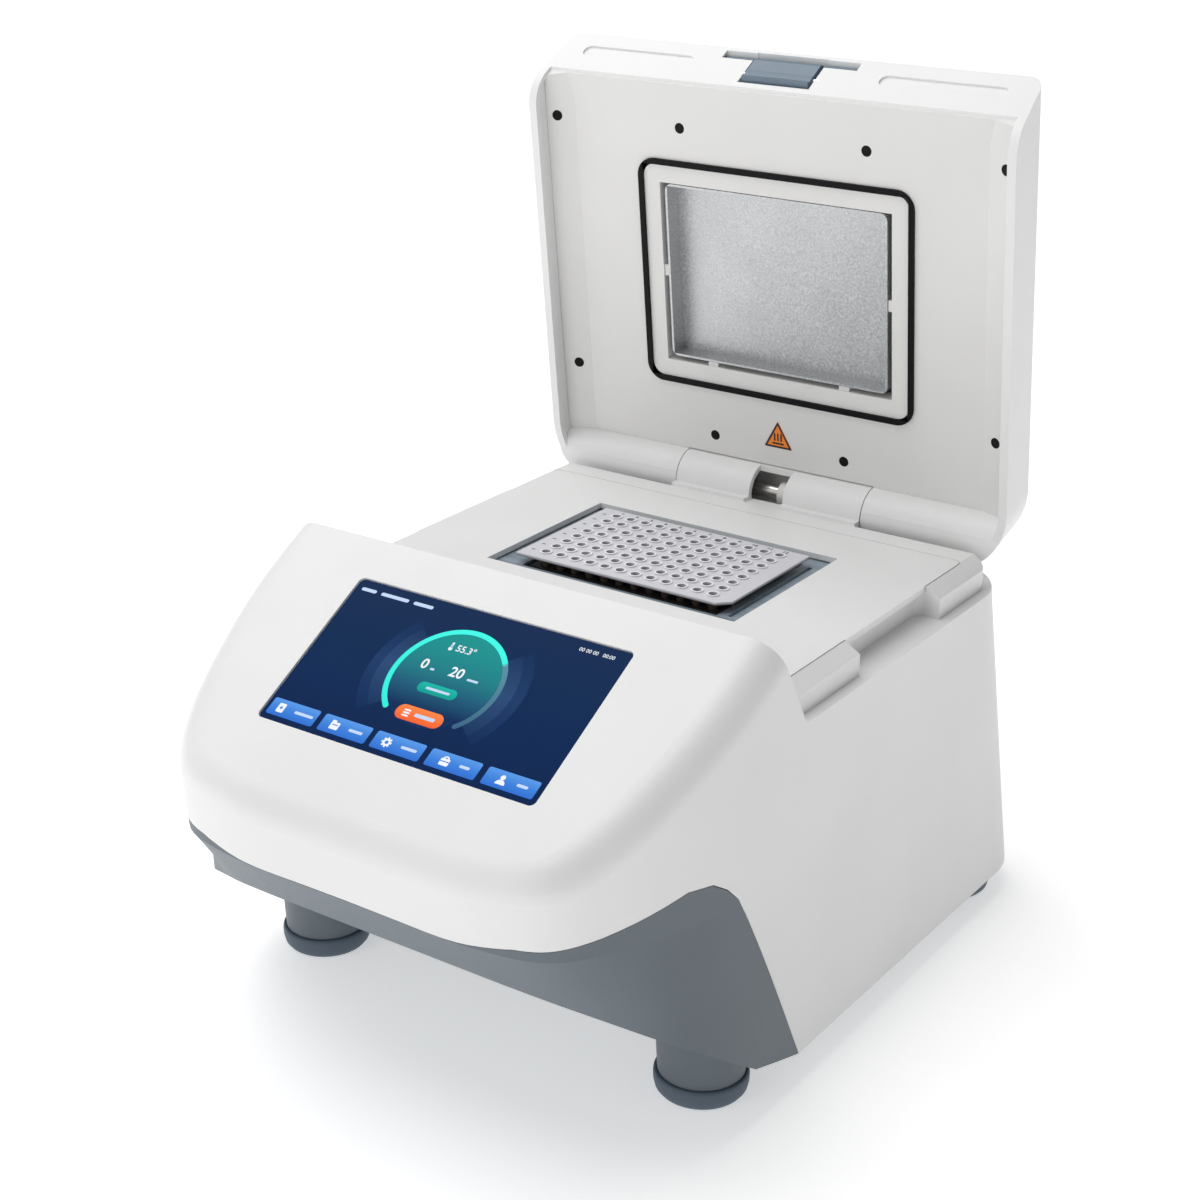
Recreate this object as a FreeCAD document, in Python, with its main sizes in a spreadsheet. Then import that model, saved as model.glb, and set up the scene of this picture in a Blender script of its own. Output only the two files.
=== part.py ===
import FreeCAD, Part
import math
import os
import Sketcher

# A bench-top thermal cycler with a 96-well block, a touch screen and a hinged heated lid.
# Frame: X to the right, Y to the back, Z up, millimetres; the floor is z = 0 and the origin is
# under the middle of the whole machine. The lid stands open at rest.

V = FreeCAD.Vector
doc = FreeCAD.newDocument("ThermalCycler")
dims = doc.addObject("Spreadsheet::Sheet", "dims")

SIZES = {
    # cabinet
    "block_y": 53.634,           # sample block centre, measured back from the origin
    "half_floor": 151.0,        # half-width of the cabinet at the floor
    "flare": 0.0621,            # how much each side leans in per millimetre of height
    "rear_floor": 143.0,        # rear wall behind the block centre, at the floor
    "rear_lean": 0.13,
    "rear_corner": 40.0,
    "skin": 3.0,
    "floor_under": 14.0,
    "ledge_level": 176.5,
    "ledge_front": -98.0,
    "crest_y": -119.9,
    "crest_level": 221.0,
    "slope_deg": 29.43,
    "nose_level": 112.0,
    "nose_y": -247.5,
    "apron_y": -224.0,
    "apron_level": 82.0,
    "slope_radius": 16.0,
    "seam_gap": 0.15,
    # deck island under the lid
    "island_half": 134.0,
    "island_front": -100.0,
    "island_rear": 96.0,
    "deck_level": 192.2,
    "deck_half": 125.4,
    "deck_front": -92.0,
    "deck_rear": 82.3,
    "deck_skin": 3.0,
    "deck_gap": 0.5,
    "grip_front": -39.0,
    "grip_rear": 40.0,
    "grip_inner": 122.0,
    "grip_lip": 126.0,
    "island_slope_drop": 5.0,
    "opening_half_x": 72.7,
    "opening_half_y": 50.1,
    # 96-well block and plate
    "pitch": 9.0,
    "well_radius": 3.1,
    "block_length": 112.0,
    "block_width": 73.0,
    "block_top": 187.5,
    "block_height": 18.5,
    "plate_length": 124.0,
    "plate_width": 80.0,
    "plate_top": 194.4,
    "plate_skin": 1.4,
    "tube_radius": 2.75,
    "tube_depth": 19.0,
    "tube_wall": 0.5,
    # screen
    "screen_y": -177.7,
    "glass_length": 154.1,
    "glass_width": 85.9,
    "glass_skin": 1.1,
    "glass_sunk": 1.0,
    "lcd_length": 165.0,
    "lcd_width": 100.0,
    "lcd_skin": 6.0,
    # feet
    "foot_x": 113.9,
    "foot_front_y": -136.9,
    "rear_foot_x": 122.0,
    "rear_foot_y": 99.0,
    "foot_radius": 22.3,
    "foot_tread": 18.6,
    "foot_height": 9.0,
    "post_radius": 20.5,
    "post_bottom": 11.0,
    "rear_post_bottom": 9.4,
    # hinge and lid
    "hinge_y": 115.7,
    "hinge_z": 193.9,
    "lid_open_deg": 83.55,
    "knuckle_radius": 14.8,
    "barrel_half": 57.0,
    "knuckle_inner": 57.6,
    "knuckle_outer": 137.0,
    "dish_drop": 4.3,
    "dish_flat_half": 120.0,
    "dish_rim_half": 135.4,
    "shaft_radius": 4.0,
    "shaft_half": 104.0,
    "lid_top": 27.1,
    "lid_front_low": -219.6,
    "lid_front_top": -232.2,
    "lid_rear": 15.3,
    "lid_round": 9.0,
    "lid_half_low": 140.0,
    "lid_half_top": 135.5,
    "skirt_drop": -13.4,
    "liner_level": 0.3,
    "liner_skin": 2.5,
    "gasket_length": 162.2,
    "gasket_width": 124.4,
    "gasket_wide": 3.0,
    "tray_length": 131.2,
    "tray_width": 95.8,
    "tray_depth": 12.0,
    "tray_skin": 1.2,
    "tray_y": -116.7,
    "plug_radius": 2.85,
    "plug_depth": 1.5,
    "lever_half": 37.5,
    "hook_half": 19.0,
    "lever_pin_y": -223.4,
    "lever_pin_z": 11.0,
    # cooling and electrics
    "sink_length": 150.0,
    "sink_width": 104.0,
    "sink_base": 8.0,
    "sink_fin": 46.0,
    "fan_size": 92.0,
    "fan_depth": 25.0,
    "fan_level": 92.0,
}


def write_sheet():
    for row, (alias, value) in enumerate(SIZES.items(), start=1):
        dims.set(f"A{row}", alias)
        dims.set(f"B{row}", str(value))
        dims.setAlias(f"B{row}", alias)
    doc.recompute()


def size(alias):
    return float(dims.get(alias))


def expression(text):
    """Turn a formula written with plain size names into one that reads the sheet."""
    words = []
    word = ""
    for letter in text + " ":
        if letter.isalnum() or letter == "_":
            word += letter
            continue
        words.append("dims." + word if word in SIZES else word)
        words.append(letter)
        word = ""
    return "".join(words).strip()


def number(text):
    """The value of such a formula now, through a scratch cell of the sheet."""
    dims.set("D1", "=" + expression(text).replace("dims.", ""))
    doc.recompute([dims])
    return float(dims.get("D1"))


def bind(piece, prop, text):
    piece.setExpression(prop, expression(text))


def place(piece, x="0", y="0", z="0", axis=None, degrees="0"):
    if axis:
        piece.Placement = FreeCAD.Placement(V(), FreeCAD.Rotation(V(*axis), number(degrees)))
        bind(piece, "Placement.Rotation.Angle", degrees)
    for letter, text in zip("xyz", (x, y, z)):
        bind(piece, "Placement.Base." + letter, text)
    return piece


def place_on_lid(piece):
    """Lid pieces are drawn with the lid closed round the hinge axis, then swung open."""
    return place(piece, "0", "block_y + hinge_y", "hinge_z", (-1, 0, 0), "lid_open_deg")


sub_parts = []


def keep(piece, label):
    piece.Label = label
    sub_parts.append(piece)
    return piece


# ---------------------------------------------------------------- Part primitives

def box(name, x, y, z, length, width, height):
    """A box centred on x and y that stands on z."""
    piece = doc.addObject("Part::Box", name)
    bind(piece, "Length", length)
    bind(piece, "Width", width)
    bind(piece, "Height", height)
    return place(piece, f"{x} - ({length}) / 2", f"{y} - ({width}) / 2", z)


def rod(name, x, y, z, radius, length, along="z"):
    """A cylinder from (x, y, z) along one axis; along x or y it is centred on its middle."""
    piece = doc.addObject("Part::Cylinder", name)
    bind(piece, "Radius", radius)
    bind(piece, "Height", length)
    if along == "x":
        return place(piece, f"{x} - ({length}) / 2", y, z, (0, 1, 0), "90")
    if along == "y":
        return place(piece, x, f"{y} + ({length}) / 2", z, (1, 0, 0), "90")
    return place(piece, x, y, z)


def join(name, pieces):
    piece = doc.addObject("Part::MultiFuse", name)
    piece.Shapes = pieces
    return piece


def cut(name, base, tools):
    piece = doc.addObject("Part::Cut", name)
    piece.Base = base
    piece.Tool = tools[0] if len(tools) == 1 else join(name + "Tools", tools)
    return piece


def group(name, pieces):
    piece = doc.addObject("Part::Compound", name)
    piece.Links = pieces
    return piece


# ---------------------------------------------------------------- PartDesign bodies

def new_body(name):
    return doc.addObject("PartDesign::Body", name)


def origin_plane(body, role):
    return next(item for item in body.Origin.OriginFeatures if item.Role == role)


def sketch_on(body, name, role="XY_Plane", lift=None):
    sketch = body.newObject("Sketcher::SketchObject", name)
    sketch.AttachmentSupport = (origin_plane(body, role), [""])
    sketch.MapMode = "FlatFace"
    if lift:
        bind(sketch, "AttachmentOffset.Base.z", lift)
    return sketch


def pin_point(sketch, geometry, end, x, y):
    """Hold one sketch point at (x, y), two formulas."""
    for kind, text, axis in (("DistanceX", x, -2), ("DistanceY", y, -1)):
        value = number(text)
        if abs(value) < 1e-9:
            sketch.addConstraint(Sketcher.Constraint("PointOnObject", geometry, end, axis))
            continue
        index = sketch.addConstraint(Sketcher.Constraint(kind, -1, 1, geometry, end, value))
        title = f"{kind}{index}"
        sketch.renameConstraint(index, title)
        bind(sketch, "Constraints." + title, text)


def polygon(sketch, corners):
    """A closed outline of straight edges through corners given as pairs of formulas."""
    points = [V(number(x), number(y), 0) for x, y in corners]
    first = sketch.GeometryCount
    count = len(points)
    for index in range(count):
        sketch.addGeometry(Part.LineSegment(points[index], points[(index + 1) % count]))
    for index in range(count):
        following = first + (index + 1) % count
        sketch.addConstraint(Sketcher.Constraint("Coincident", first + index, 2, following, 1))
    for index, (x, y) in enumerate(corners):
        pin_point(sketch, first + index, 1, x, y)


def rectangle(sketch, x, y, length, width):
    low_x, high_x = f"{x} - ({length}) / 2", f"{x} + ({length}) / 2"
    low_y, high_y = f"{y} - ({width}) / 2", f"{y} + ({width}) / 2"
    polygon(sketch, [(low_x, low_y), (high_x, low_y), (high_x, high_y), (low_x, high_y)])


def circle(sketch, x, y, radius):
    centre = V(number(x), number(y), 0)
    index = sketch.addGeometry(Part.Circle(centre, V(0, 0, 1), number(radius)))
    pin_point(sketch, index, 3, x, y)
    title = f"Radius{index}"
    constraint = sketch.addConstraint(Sketcher.Constraint("Radius", index, number(radius)))
    sketch.renameConstraint(constraint, title)
    bind(sketch, "Constraints." + title, radius)


def pad(body, sketch, length, name="Pad", both_ways=False):
    feature = body.newObject("PartDesign::Pad", name)
    feature.Profile = sketch
    bind(feature, "Length", length)
    feature.SideType = "Symmetric" if both_ways else "One side"
    body.Tip = feature
    doc.recompute()
    return feature


def pocket(body, sketch, length, name="Pocket", reverse=False):
    before = body.Shape.Volume
    feature = body.newObject("PartDesign::Pocket", name)
    feature.Profile = sketch
    bind(feature, "Length", length)
    feature.Reversed = reverse
    body.Tip = feature
    doc.recompute()
    if body.Shape.Volume > before - 1e-3:
        raise RuntimeError(f"{body.Name} {name} cuts nothing")
    return feature


def revolve(body, sketch, axis="V_Axis", name="Turned"):
    feature = body.newObject("PartDesign::Revolution", name)
    feature.Profile = sketch
    feature.ReferenceAxis = (sketch, [axis])
    feature.Angle = 360
    body.Tip = feature
    doc.recompute()
    return feature


def repeat(body, source, role, length, count, name):
    feature = body.newObject("PartDesign::LinearPattern", name)
    feature.Originals = [source]
    feature.Direction = (origin_plane(body, role), [""])
    bind(feature, "Length", length)
    feature.Occurrences = count
    body.Tip = feature
    doc.recompute()
    return feature


def round_edges(body, base, chosen, radius, name="Rounded"):
    """Fillet the edges of the last feature for which chosen(edge) is true."""
    edges = base.Shape.Edges
    names = [f"Edge{index + 1}" for index, edge in enumerate(edges) if chosen(edge)]
    feature = body.newObject("PartDesign::Fillet", name)
    feature.Base = (base, names)
    bind(feature, "Radius", radius)
    body.Tip = feature
    doc.recompute()
    return feature


def upright(edge):
    start, finish = edge.Vertexes[0].Point, edge.Vertexes[-1].Point
    return abs(start.x - finish.x) + abs(start.y - finish.y) < 1e-6 and abs(start.z - finish.z) > 1e-6


def slab(name, x, y, z, length, width, height, corner=None):
    """A flat plate with rounded upright corners, as a body of its own."""
    body = new_body(name)
    sketch = sketch_on(body, name + "Outline", lift=z)
    rectangle(sketch, x, y, length, width)
    feature = pad(body, sketch, height, name + "Pad")
    if corner:
        round_edges(body, feature, upright, corner, name + "Corners")
    return body


def ring(name, x, y, z, length, width, height, wide, corner):
    """A rounded rectangular frame, `wide` millimetres across its band."""
    body = slab(name, x, y, z, length, width, height, corner)
    inner = sketch_on(body, name + "Inner", lift=z)
    rectangle(inner, x, y, f"{length} - 2 * ({wide})", f"{width} - 2 * ({wide})")
    pocket(body, inner, height, name + "Opening", reverse=True)
    return body


# ---------------------------------------------------------------- cabinet form

def half_width(level):
    return size("half_floor") - size("flare") * level


def plan_wire(level, front_points, front, inset):
    """One horizontal outline of the cabinet: straight sides, round rear corners, bowed front."""
    half = half_width(level) - inset
    rear = size("block_y") + size("rear_floor") - size("rear_lean") * level - inset
    start_y = size("block_y") + size("crest_y") + 8.0
    points = [V(half, start_y, level)]
    for x, y in front_points:
        points.append(V(x - inset, size("block_y") + y + 0.6 * inset, level))
    points.append(V(0, size("block_y") + front + inset, level))
    curve = Part.BSplineCurve()
    curve.interpolate(Points=points, InitialTangent=V(0, -1, 0), FinalTangent=V(-1, 0, 0))
    radius = size("rear_corner") - inset
    short = radius * (1 - math.sqrt(0.5))
    side = Part.LineSegment(V(half, rear - radius, level), V(half, start_y, level)).toShape()
    bend = Part.Arc(V(half - radius, rear, level), V(half - short, rear - short, level),
                    V(half, rear - radius, level)).toShape()
    back = Part.LineSegment(V(radius - half, rear, level), V(half - radius, rear, level)).toShape()
    right = [bend, side, curve.toShape()]
    left = [edge.mirror(V(), V(1, 0, 0)) for edge in right]
    return Part.Wire(Part.__sortEdges__([back] + right + left))


def side_prism(points, inset, reach=200.0):
    """A solid from a closed side profile (y from the block centre, z), across the whole width."""
    base = size("block_y")
    corners = [V(-reach, base + y, z) for y, z in points]
    face = Part.Face(Part.makePolygon(corners + corners[:1]))
    if inset:
        face = face.makeOffset2D(-inset)
    return face.extrude(V(2 * reach, 0, 0))


def cabinet_profile():
    rise = math.tan(math.radians(size("slope_deg")))
    nose_top = size("crest_level") - (262.0 + size("crest_y")) * rise
    rear_low = size("rear_floor") - size("rear_lean") * size("floor_under")
    rear_high = size("rear_floor") - size("rear_lean") * size("ledge_level")
    return [
        (rear_low, size("floor_under")),
        (rear_high, size("ledge_level")),
        (size("ledge_front"), size("ledge_level")),
        (size("crest_y"), size("crest_level")),
        (-262.0, nose_top),
        (-262.0, size("nose_level")),
        (size("nose_y"), size("nose_level")),
        (size("apron_y"), size("apron_level")),
        (-147.0, 28.0),
        (-111.0, 17.0),
    ]


def cabinet_form(inset):
    """The cabinet's outer form, or the same form moved inwards by `inset`."""
    levels = [
        (0.0, [(150.5, -140), (149.5, -162), (146, -182), (136, -195), (107, -196), (80, -194)], -191),
        (40.0, [(148, -140), (147, -162), (143, -182), (133, -194), (105, -195), (80, -193)], -191),
        (112.0, [(141.5, -150), (135.5, -176), (127.5, -199), (116, -221), (100, -239), (80, -245)], -247.5),
        (230.0, [(134.5, -150), (130, -176), (125, -199), (119, -224), (106, -246), (80, -256)], -262),
    ]
    wires = [plan_wire(level, points, front, inset) for level, points, front in levels]
    form = Part.makeLoft(wires, True, True).common(side_prism(cabinet_profile(), inset)).Solids[0]
    crest = V(0, size("block_y") + size("crest_y"), size("crest_level"))
    tilt = math.radians(size("slope_deg"))
    normal = V(0, -math.sin(tilt), math.cos(tilt))
    crest -= normal * inset
    rim = []
    for edge in form.Edges:
        ends = [vertex.Point for vertex in edge.Vertexes]
        on_slope = all(abs((point - crest).dot(normal)) < 0.1 for point in ends)
        if on_slope and min(point.y for point in ends) < crest.y - 20.0:
            rim.append(edge)
    return form.makeFillet(size("slope_radius") - inset, rim)


def apron_profile(gap):
    """Side profile of the region that belongs to the gray base: apron, fin and foot post."""
    top = 129.0 - gap
    return [(-300.0, 90.0), (-252.0, 107.0 - gap), (-244.0, 116.5 - gap), (-221.0, 120.5 - gap),
            (-182.0, top), (-168.5 - gap, top - 1.5), (-160.0 - gap, top - 7.0), (-153.5 - gap, 115.0),
            (-148.0 - gap, 103.0), (-111.0 - gap, 17.3), (-108.0, 5.0), (-300.0, 5.0)]


def feature_from(name, shape):
    piece = doc.addObject("Part::Feature", name)
    piece.Shape = shape
    return piece


def shape_box(x0, x1, y0, y1, z0, z1):
    """A plain tool box; y is measured from the block centre."""
    return Part.makeBox(x1 - x0, y1 - y0, z1 - z0, V(x0, size("block_y") + y0, z0))


def rounded_tool(x0, x1, y0, y1, z0, z1, radius):
    tool = shape_box(x0, x1, y0, y1, z0, z1)
    return tool.makeFillet(radius, [edge for edge in tool.Edges if upright(edge)])


def screen_placement(sunk):
    tilt = size("slope_deg")
    rise = math.tan(math.radians(tilt))
    level = size("crest_level") + (size("screen_y") - size("crest_y")) * rise
    normal = V(0, -math.sin(math.radians(tilt)), math.cos(math.radians(tilt)))
    centre = V(0, size("block_y") + size("screen_y"), level) - normal * sunk
    return FreeCAD.Placement(centre, FreeCAD.Rotation(V(1, 0, 0), tilt))


def screen_tool(length, width, depth, sunk, corner):
    """A rounded block under the screen slope, its top face `sunk` below the surface."""
    tool = Part.makeBox(length, width, depth, V(-length / 2, -width / 2, -depth))
    tool = tool.makeFillet(corner, [edge for edge in tool.Edges if upright(edge)])
    tool.Placement = screen_placement(sunk)
    return tool


def island_bevel(side):
    """The wedge that slopes one side of the island down, from the deck seam outwards."""
    seam, level = size("deck_half"), size("deck_level")
    edge = 2 * size("island_half") - seam
    front, rear = size("block_y") + size("island_front") - 5.0, size("block_y") + size("island_rear") + 5.0
    corners = [V(side * seam, front, level), V(side * edge, front, level - 2 * size("island_slope_drop")),
               V(side * edge, front, level + 1.0), V(side * seam, front, level + 1.0)]
    return Part.Face(Part.makePolygon(corners + corners[:1])).extrude(V(0, rear - front, 0))


def island_shape():
    """The raised island that carries the deck, with a side grip recess on each side."""
    level = size("deck_level")
    half = size("island_half")
    island = rounded_tool(-half, half, size("island_front"), size("island_rear"),
                          size("ledge_level") - 1.0, level, 8.0)
    for side in (-1, 1):
        x0, x1 = sorted((side * size("grip_inner"), side * (half + 5.0)))
        notch = rounded_tool(x0, x1, size("grip_front") - 0.4, size("grip_rear") + 2.0,
                             size("ledge_level"), level + 5.0, 5.0)
        island = island.cut(notch).cut(island_bevel(side))
    return island


def lowered(shape, drop=8.0):
    moved = shape.copy()
    moved.translate(V(0, 0, -drop))
    return moved


def rear_openings():
    """Openings in the rear wall: the fan, the inlet, the switch and the data port."""
    level = size("fan_level")
    fan = Part.makeCylinder(42.0, 80.0, V(0, size("block_y") + 80.0, level), V(0, 1, 0))
    inlet = shape_box(-112.0, -84.0, 90.0, 170.0, 34.0, 54.0)
    switch = shape_box(-107.5, -88.5, 90.0, 170.0, 64.0, 77.0)
    port = shape_box(78.0, 94.0, 90.0, 170.0, 44.0, 52.0)
    return fan.multiFuse([inlet, switch, port])


def make_housing(outer, inner):
    """White upper housing: slope with the screen opening, ledge, deck island, sides and rear wall."""
    shell = outer.cut(inner).cut(lowered(inner)).cut(side_prism(apron_profile(-size("seam_gap")), 0.0))
    shell = shell.fuse(island_shape())
    level = size("deck_level")
    gap = size("deck_gap")
    well = rounded_tool(-size("deck_half") - gap, size("deck_half") + gap, size("deck_front") - gap,
                        size("deck_rear") + gap, level - size("deck_skin"), level + 9.0, 4.0 + gap)
    below = rounded_tool(-115.0, 115.0, -82.0, 74.0, 160.0, level, 6.0)
    shell = shell.cut(well).cut(below)
    shell = shell.cut(screen_tool(size("glass_length") + 1.0, size("glass_width") + 1.0, 14.0, -4.0, 3.0))
    shell = shell.cut(shape_box(-21.0, 21.0, -125.0, -103.0, 196.0, 214.0))
    shell = shell.cut(rear_openings())
    piece = feature_from("UpperHousing", shell.removeSplitter())
    return keep(piece, "upper_housing")


def make_base(outer, inner):
    """Gray base: front apron with side fins, two foot posts, floor plate with rear foot pads."""
    apron = outer.cut(inner).common(side_prism(apron_profile(size("seam_gap")), 0.0))
    floor = lowered(cabinet_form(size("skin") + 0.2)).common(outer).cut(inner)
    floor = floor.common(shape_box(-200, 200, -114.0, 200, 0, 24.0))
    base = apron.fuse(floor)
    for side in (-1, 1):
        front = V(side * size("foot_x"), size("block_y") + size("foot_front_y"), size("post_bottom"))
        post = Part.makeCone(size("post_radius"), size("post_radius") + 2.0, 40.0, front)
        base = base.fuse(post.common(lowered(outer, 30.0).fuse(outer)))
        rear = V(side * size("rear_foot_x"), size("block_y") + size("rear_foot_y"), size("rear_post_bottom"))
        base = base.fuse(Part.makeCylinder(15.0, size("floor_under") - size("rear_post_bottom") + 1.0, rear))
    inlets = []
    for row in range(7):
        y = size("block_y") - 46.0 + 13.0 * row
        slot = Part.makeBox(120.0, 5.0, 10.0, V(-60.0, y, 10.0))
        inlets.append(slot.makeFillet(2.4, [edge for edge in slot.Edges if upright(edge)]))
    base = base.cut(Part.makeCompound(inlets))
    return keep(feature_from("BaseTray", base.removeSplitter()), "base_tray")


# ---------------------------------------------------------------- feet

def make_foot(name, label, x, y, top):
    """A turned rubber foot: narrow tread, wide rim, and a stud up into its post."""
    body = new_body(name)
    sketch = sketch_on(body, name + "Section", "XZ_Plane")
    shoulder = "foot_height - 2.0"
    polygon(sketch, [("0", "0"), ("foot_tread", "0"), ("foot_radius", shoulder),
                     ("foot_radius", "foot_height"), ("14.0", "foot_height"), ("14.0", top), ("0", top)])
    revolve(body, sketch)
    place(body, x, y, "0")
    return keep(body, label)


def make_feet():
    for side, letter in ((-1, "left"), (1, "right")):
        front_x = f"{side} * foot_x"
        rear_x = f"{side} * rear_foot_x"
        make_foot("FootFront" + letter.title(), "foot_front_" + letter, front_x,
                  "block_y + foot_front_y", "post_bottom")
        make_foot("FootRear" + letter.title(), "foot_rear_" + letter, rear_x,
                  "block_y + rear_foot_y", "rear_post_bottom")


# ---------------------------------------------------------------- deck, block and plate

def make_deck():
    """White deck panel with the square opening and a lip over each side grip."""
    body = slab("ModuleDeck", "0", "block_y + (deck_front + deck_rear) / 2", "deck_level - deck_skin",
                "2 * deck_half", "deck_rear - deck_front", "deck_skin", "4.0")
    lips = sketch_on(body, "DeckLips", lift="deck_level - deck_skin")
    rectangle(lips, "0", "block_y + (grip_front + grip_rear) / 2", "2 * grip_lip", "grip_rear - grip_front")
    pad(body, lips, "deck_skin", "DeckLipPad")
    opening = sketch_on(body, "DeckOpening", lift="deck_level")
    rectangle(opening, "0", "block_y", "2 * opening_half_x", "2 * opening_half_y")
    pocket(body, opening, "deck_skin", "DeckOpeningCut")
    return keep(body, "module_deck")


def make_surround():
    """Gray-blue frame round the block, sunk a little below the deck."""
    body = slab("BlockSurround", "0", "block_y", "deck_level - 8.0", "2 * opening_half_x - 0.8",
                "2 * opening_half_y - 0.8", "4.6", "3.0")
    window = sketch_on(body, "SurroundWindow", lift="deck_level - 8.0")
    rectangle(window, "0", "block_y", "block_length + 3.0", "block_width + 9.0")
    pocket(body, window, "4.6", "SurroundWindowCut", reverse=True)
    groove = sketch_on(body, "SurroundGroove", lift="deck_level - 3.4")
    rectangle(groove, "63.5", "block_y", "2.4", "78.0")
    pocket(body, groove, "1.6", "SurroundGrooveCut")
    return keep(body, "block_surround")


def make_block():
    """Aluminium block with 96 tapered wells on the standard grid."""
    body = new_body("SampleBlock")
    base = sketch_on(body, "BlockOutline", lift="block_top - block_height")
    rectangle(base, "0", "0", "block_length", "block_width")
    pad(body, base, "block_height", "BlockPad")
    mouths = sketch_on(body, "WellRow", lift="block_top")
    for column in range(12):
        circle(mouths, f"pitch * {column - 5.5}", "pitch * -3.5", "well_radius")
    row = pocket(body, mouths, "block_height - 3.0", "WellRowCut")
    row.TaperAngle = -4.5
    doc.recompute()
    repeat(body, row, "Y_Axis", "7 * pitch", 8, "WellGrid")
    place(body, "0", "block_y", "0")
    return keep(body, "sample_block")


def tube_shape(depth, radius, wall):
    """One open tapered tube hanging from z = 0."""
    tip = 1.3
    outer = Part.makeCone(tip, radius, depth, V(0, 0, -depth))
    hollow = Part.makeCone(tip - wall, radius - wall, depth, V(0, 0, -depth + wall))
    return outer, hollow


def make_plate():
    """Skirtless 96-well plate: thin deck with a chamfered corner, raised rims and hanging tubes."""
    length, width = size("plate_length"), size("plate_width")
    top, skin = size("plate_top"), size("plate_skin")
    half_x, half_y, notch = length / 2, width / 2, 6.0
    outline = [V(-half_x, -half_y, 0), V(half_x - notch, -half_y, 0), V(half_x, -half_y + notch, 0),
               V(half_x, half_y, 0), V(-half_x, half_y, 0)]
    deck = Part.Face(Part.makePolygon(outline + outline[:1])).extrude(V(0, 0, skin))
    solids, hollows = [], []
    for column in range(12):
        for row in range(8):
            centre = V(size("pitch") * (column - 5.5), size("pitch") * (row - 3.5), 0)
            outer, hollow = tube_shape(size("tube_depth"), size("tube_radius"), size("tube_wall"))
            rim = Part.makeCylinder(size("tube_radius") + 0.5, skin + 0.6)
            mouth = Part.makeCylinder(size("tube_radius") - size("tube_wall"), 4.0, V(0, 0, 0))
            for shape, store in ((outer, solids), (rim, solids), (hollow, hollows), (mouth, hollows)):
                shape.translate(centre)
                store.append(shape)
    plate = deck.multiFuse(solids).cut(Part.makeCompound(hollows))
    piece = feature_from("SamplePlate", plate)
    piece.Placement.Base = V(0, size("block_y"), top - skin)
    return keep(piece, "sample_plate")


def make_peltiers():
    """Six thermoelectric modules between the block and the sink."""
    modules = []
    for column in (-1, 0, 1):
        for row in (-1, 1):
            name = f"Peltier{column + 2}{row + 2}"
            modules.append(box(name, f"{column} * 36.5", f"block_y + {row} * 18.5",
                               "block_top - block_height - 3.8", "35.0", "35.0", "3.8"))
    return keep(group("PeltierModules", modules), "peltier_modules")


def make_heat_sink():
    """Extruded aluminium sink: a base plate with a row of fins below it."""
    body = new_body("HeatSink")
    top = "block_top - block_height - 3.8"
    plate = sketch_on(body, "SinkPlate", lift=f"{top} - sink_base")
    rectangle(plate, "0", "0", "sink_length", "sink_width")
    pad(body, plate, "sink_base", "SinkPlatePad")
    fin = sketch_on(body, "SinkFin", lift=f"{top} - sink_base - sink_fin")
    rectangle(fin, "-sink_length / 2 + 1.0", "0", "2.0", "sink_width")
    first = pad(body, fin, "sink_fin + 0.5", "SinkFinPad")
    repeat(body, first, "X_Axis", "sink_length - 2.0", 25, "SinkFins")
    place(body, "0", "block_y", "0")
    return keep(body, "heat_sink")


# ---------------------------------------------------------------- fan, rear wall fittings, electrics

def make_fan_frame():
    """Square fan frame with the motor stator carried on four spokes."""
    half = size("fan_size") / 2
    depth = size("fan_depth")
    frame = Part.makeBox(2 * half, depth, 2 * half, V(-half, 0, -half))
    long_edges = [edge for edge in frame.Edges if abs(edge.Vertexes[0].Y - edge.Vertexes[-1].Y) > 1]
    frame = frame.makeFillet(6.0, long_edges)
    frame = frame.cut(Part.makeCylinder(half - 3.0, depth, V(0, 0, 0), V(0, 1, 0)))
    stator = Part.makeCylinder(14.0, 4.0, V(0, 0, 0), V(0, 1, 0))
    stator = stator.fuse(Part.makeCylinder(5.0, 16.0, V(0, 0, 0), V(0, 1, 0)))
    stator = stator.cut(Part.makeCylinder(1.55, 30.0, V(0, -1, 0), V(0, 1, 0)))
    spokes = [Part.makeBox(half - 13.0, 3.0, 4.0, V(12.5, 0, -2.0)) for _ in range(4)]
    for index, spoke in enumerate(spokes):
        spoke.rotate(V(), V(0, 1, 0), 45.0 + 90.0 * index)
    corner = half - 6.0
    holes = []
    for x in (-corner, corner):
        for z in (-corner, corner):
            holes.append(Part.makeCylinder(2.1, depth, V(x, 0, z), V(0, 1, 0)))
    frame = frame.multiFuse([stator] + spokes).cut(Part.makeCompound(holes))
    piece = feature_from("FanFrame", frame)
    piece.Placement.Base = V(0, size("block_y") + 97.0, size("fan_level"))
    return keep(piece, "fan_frame")


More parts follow.
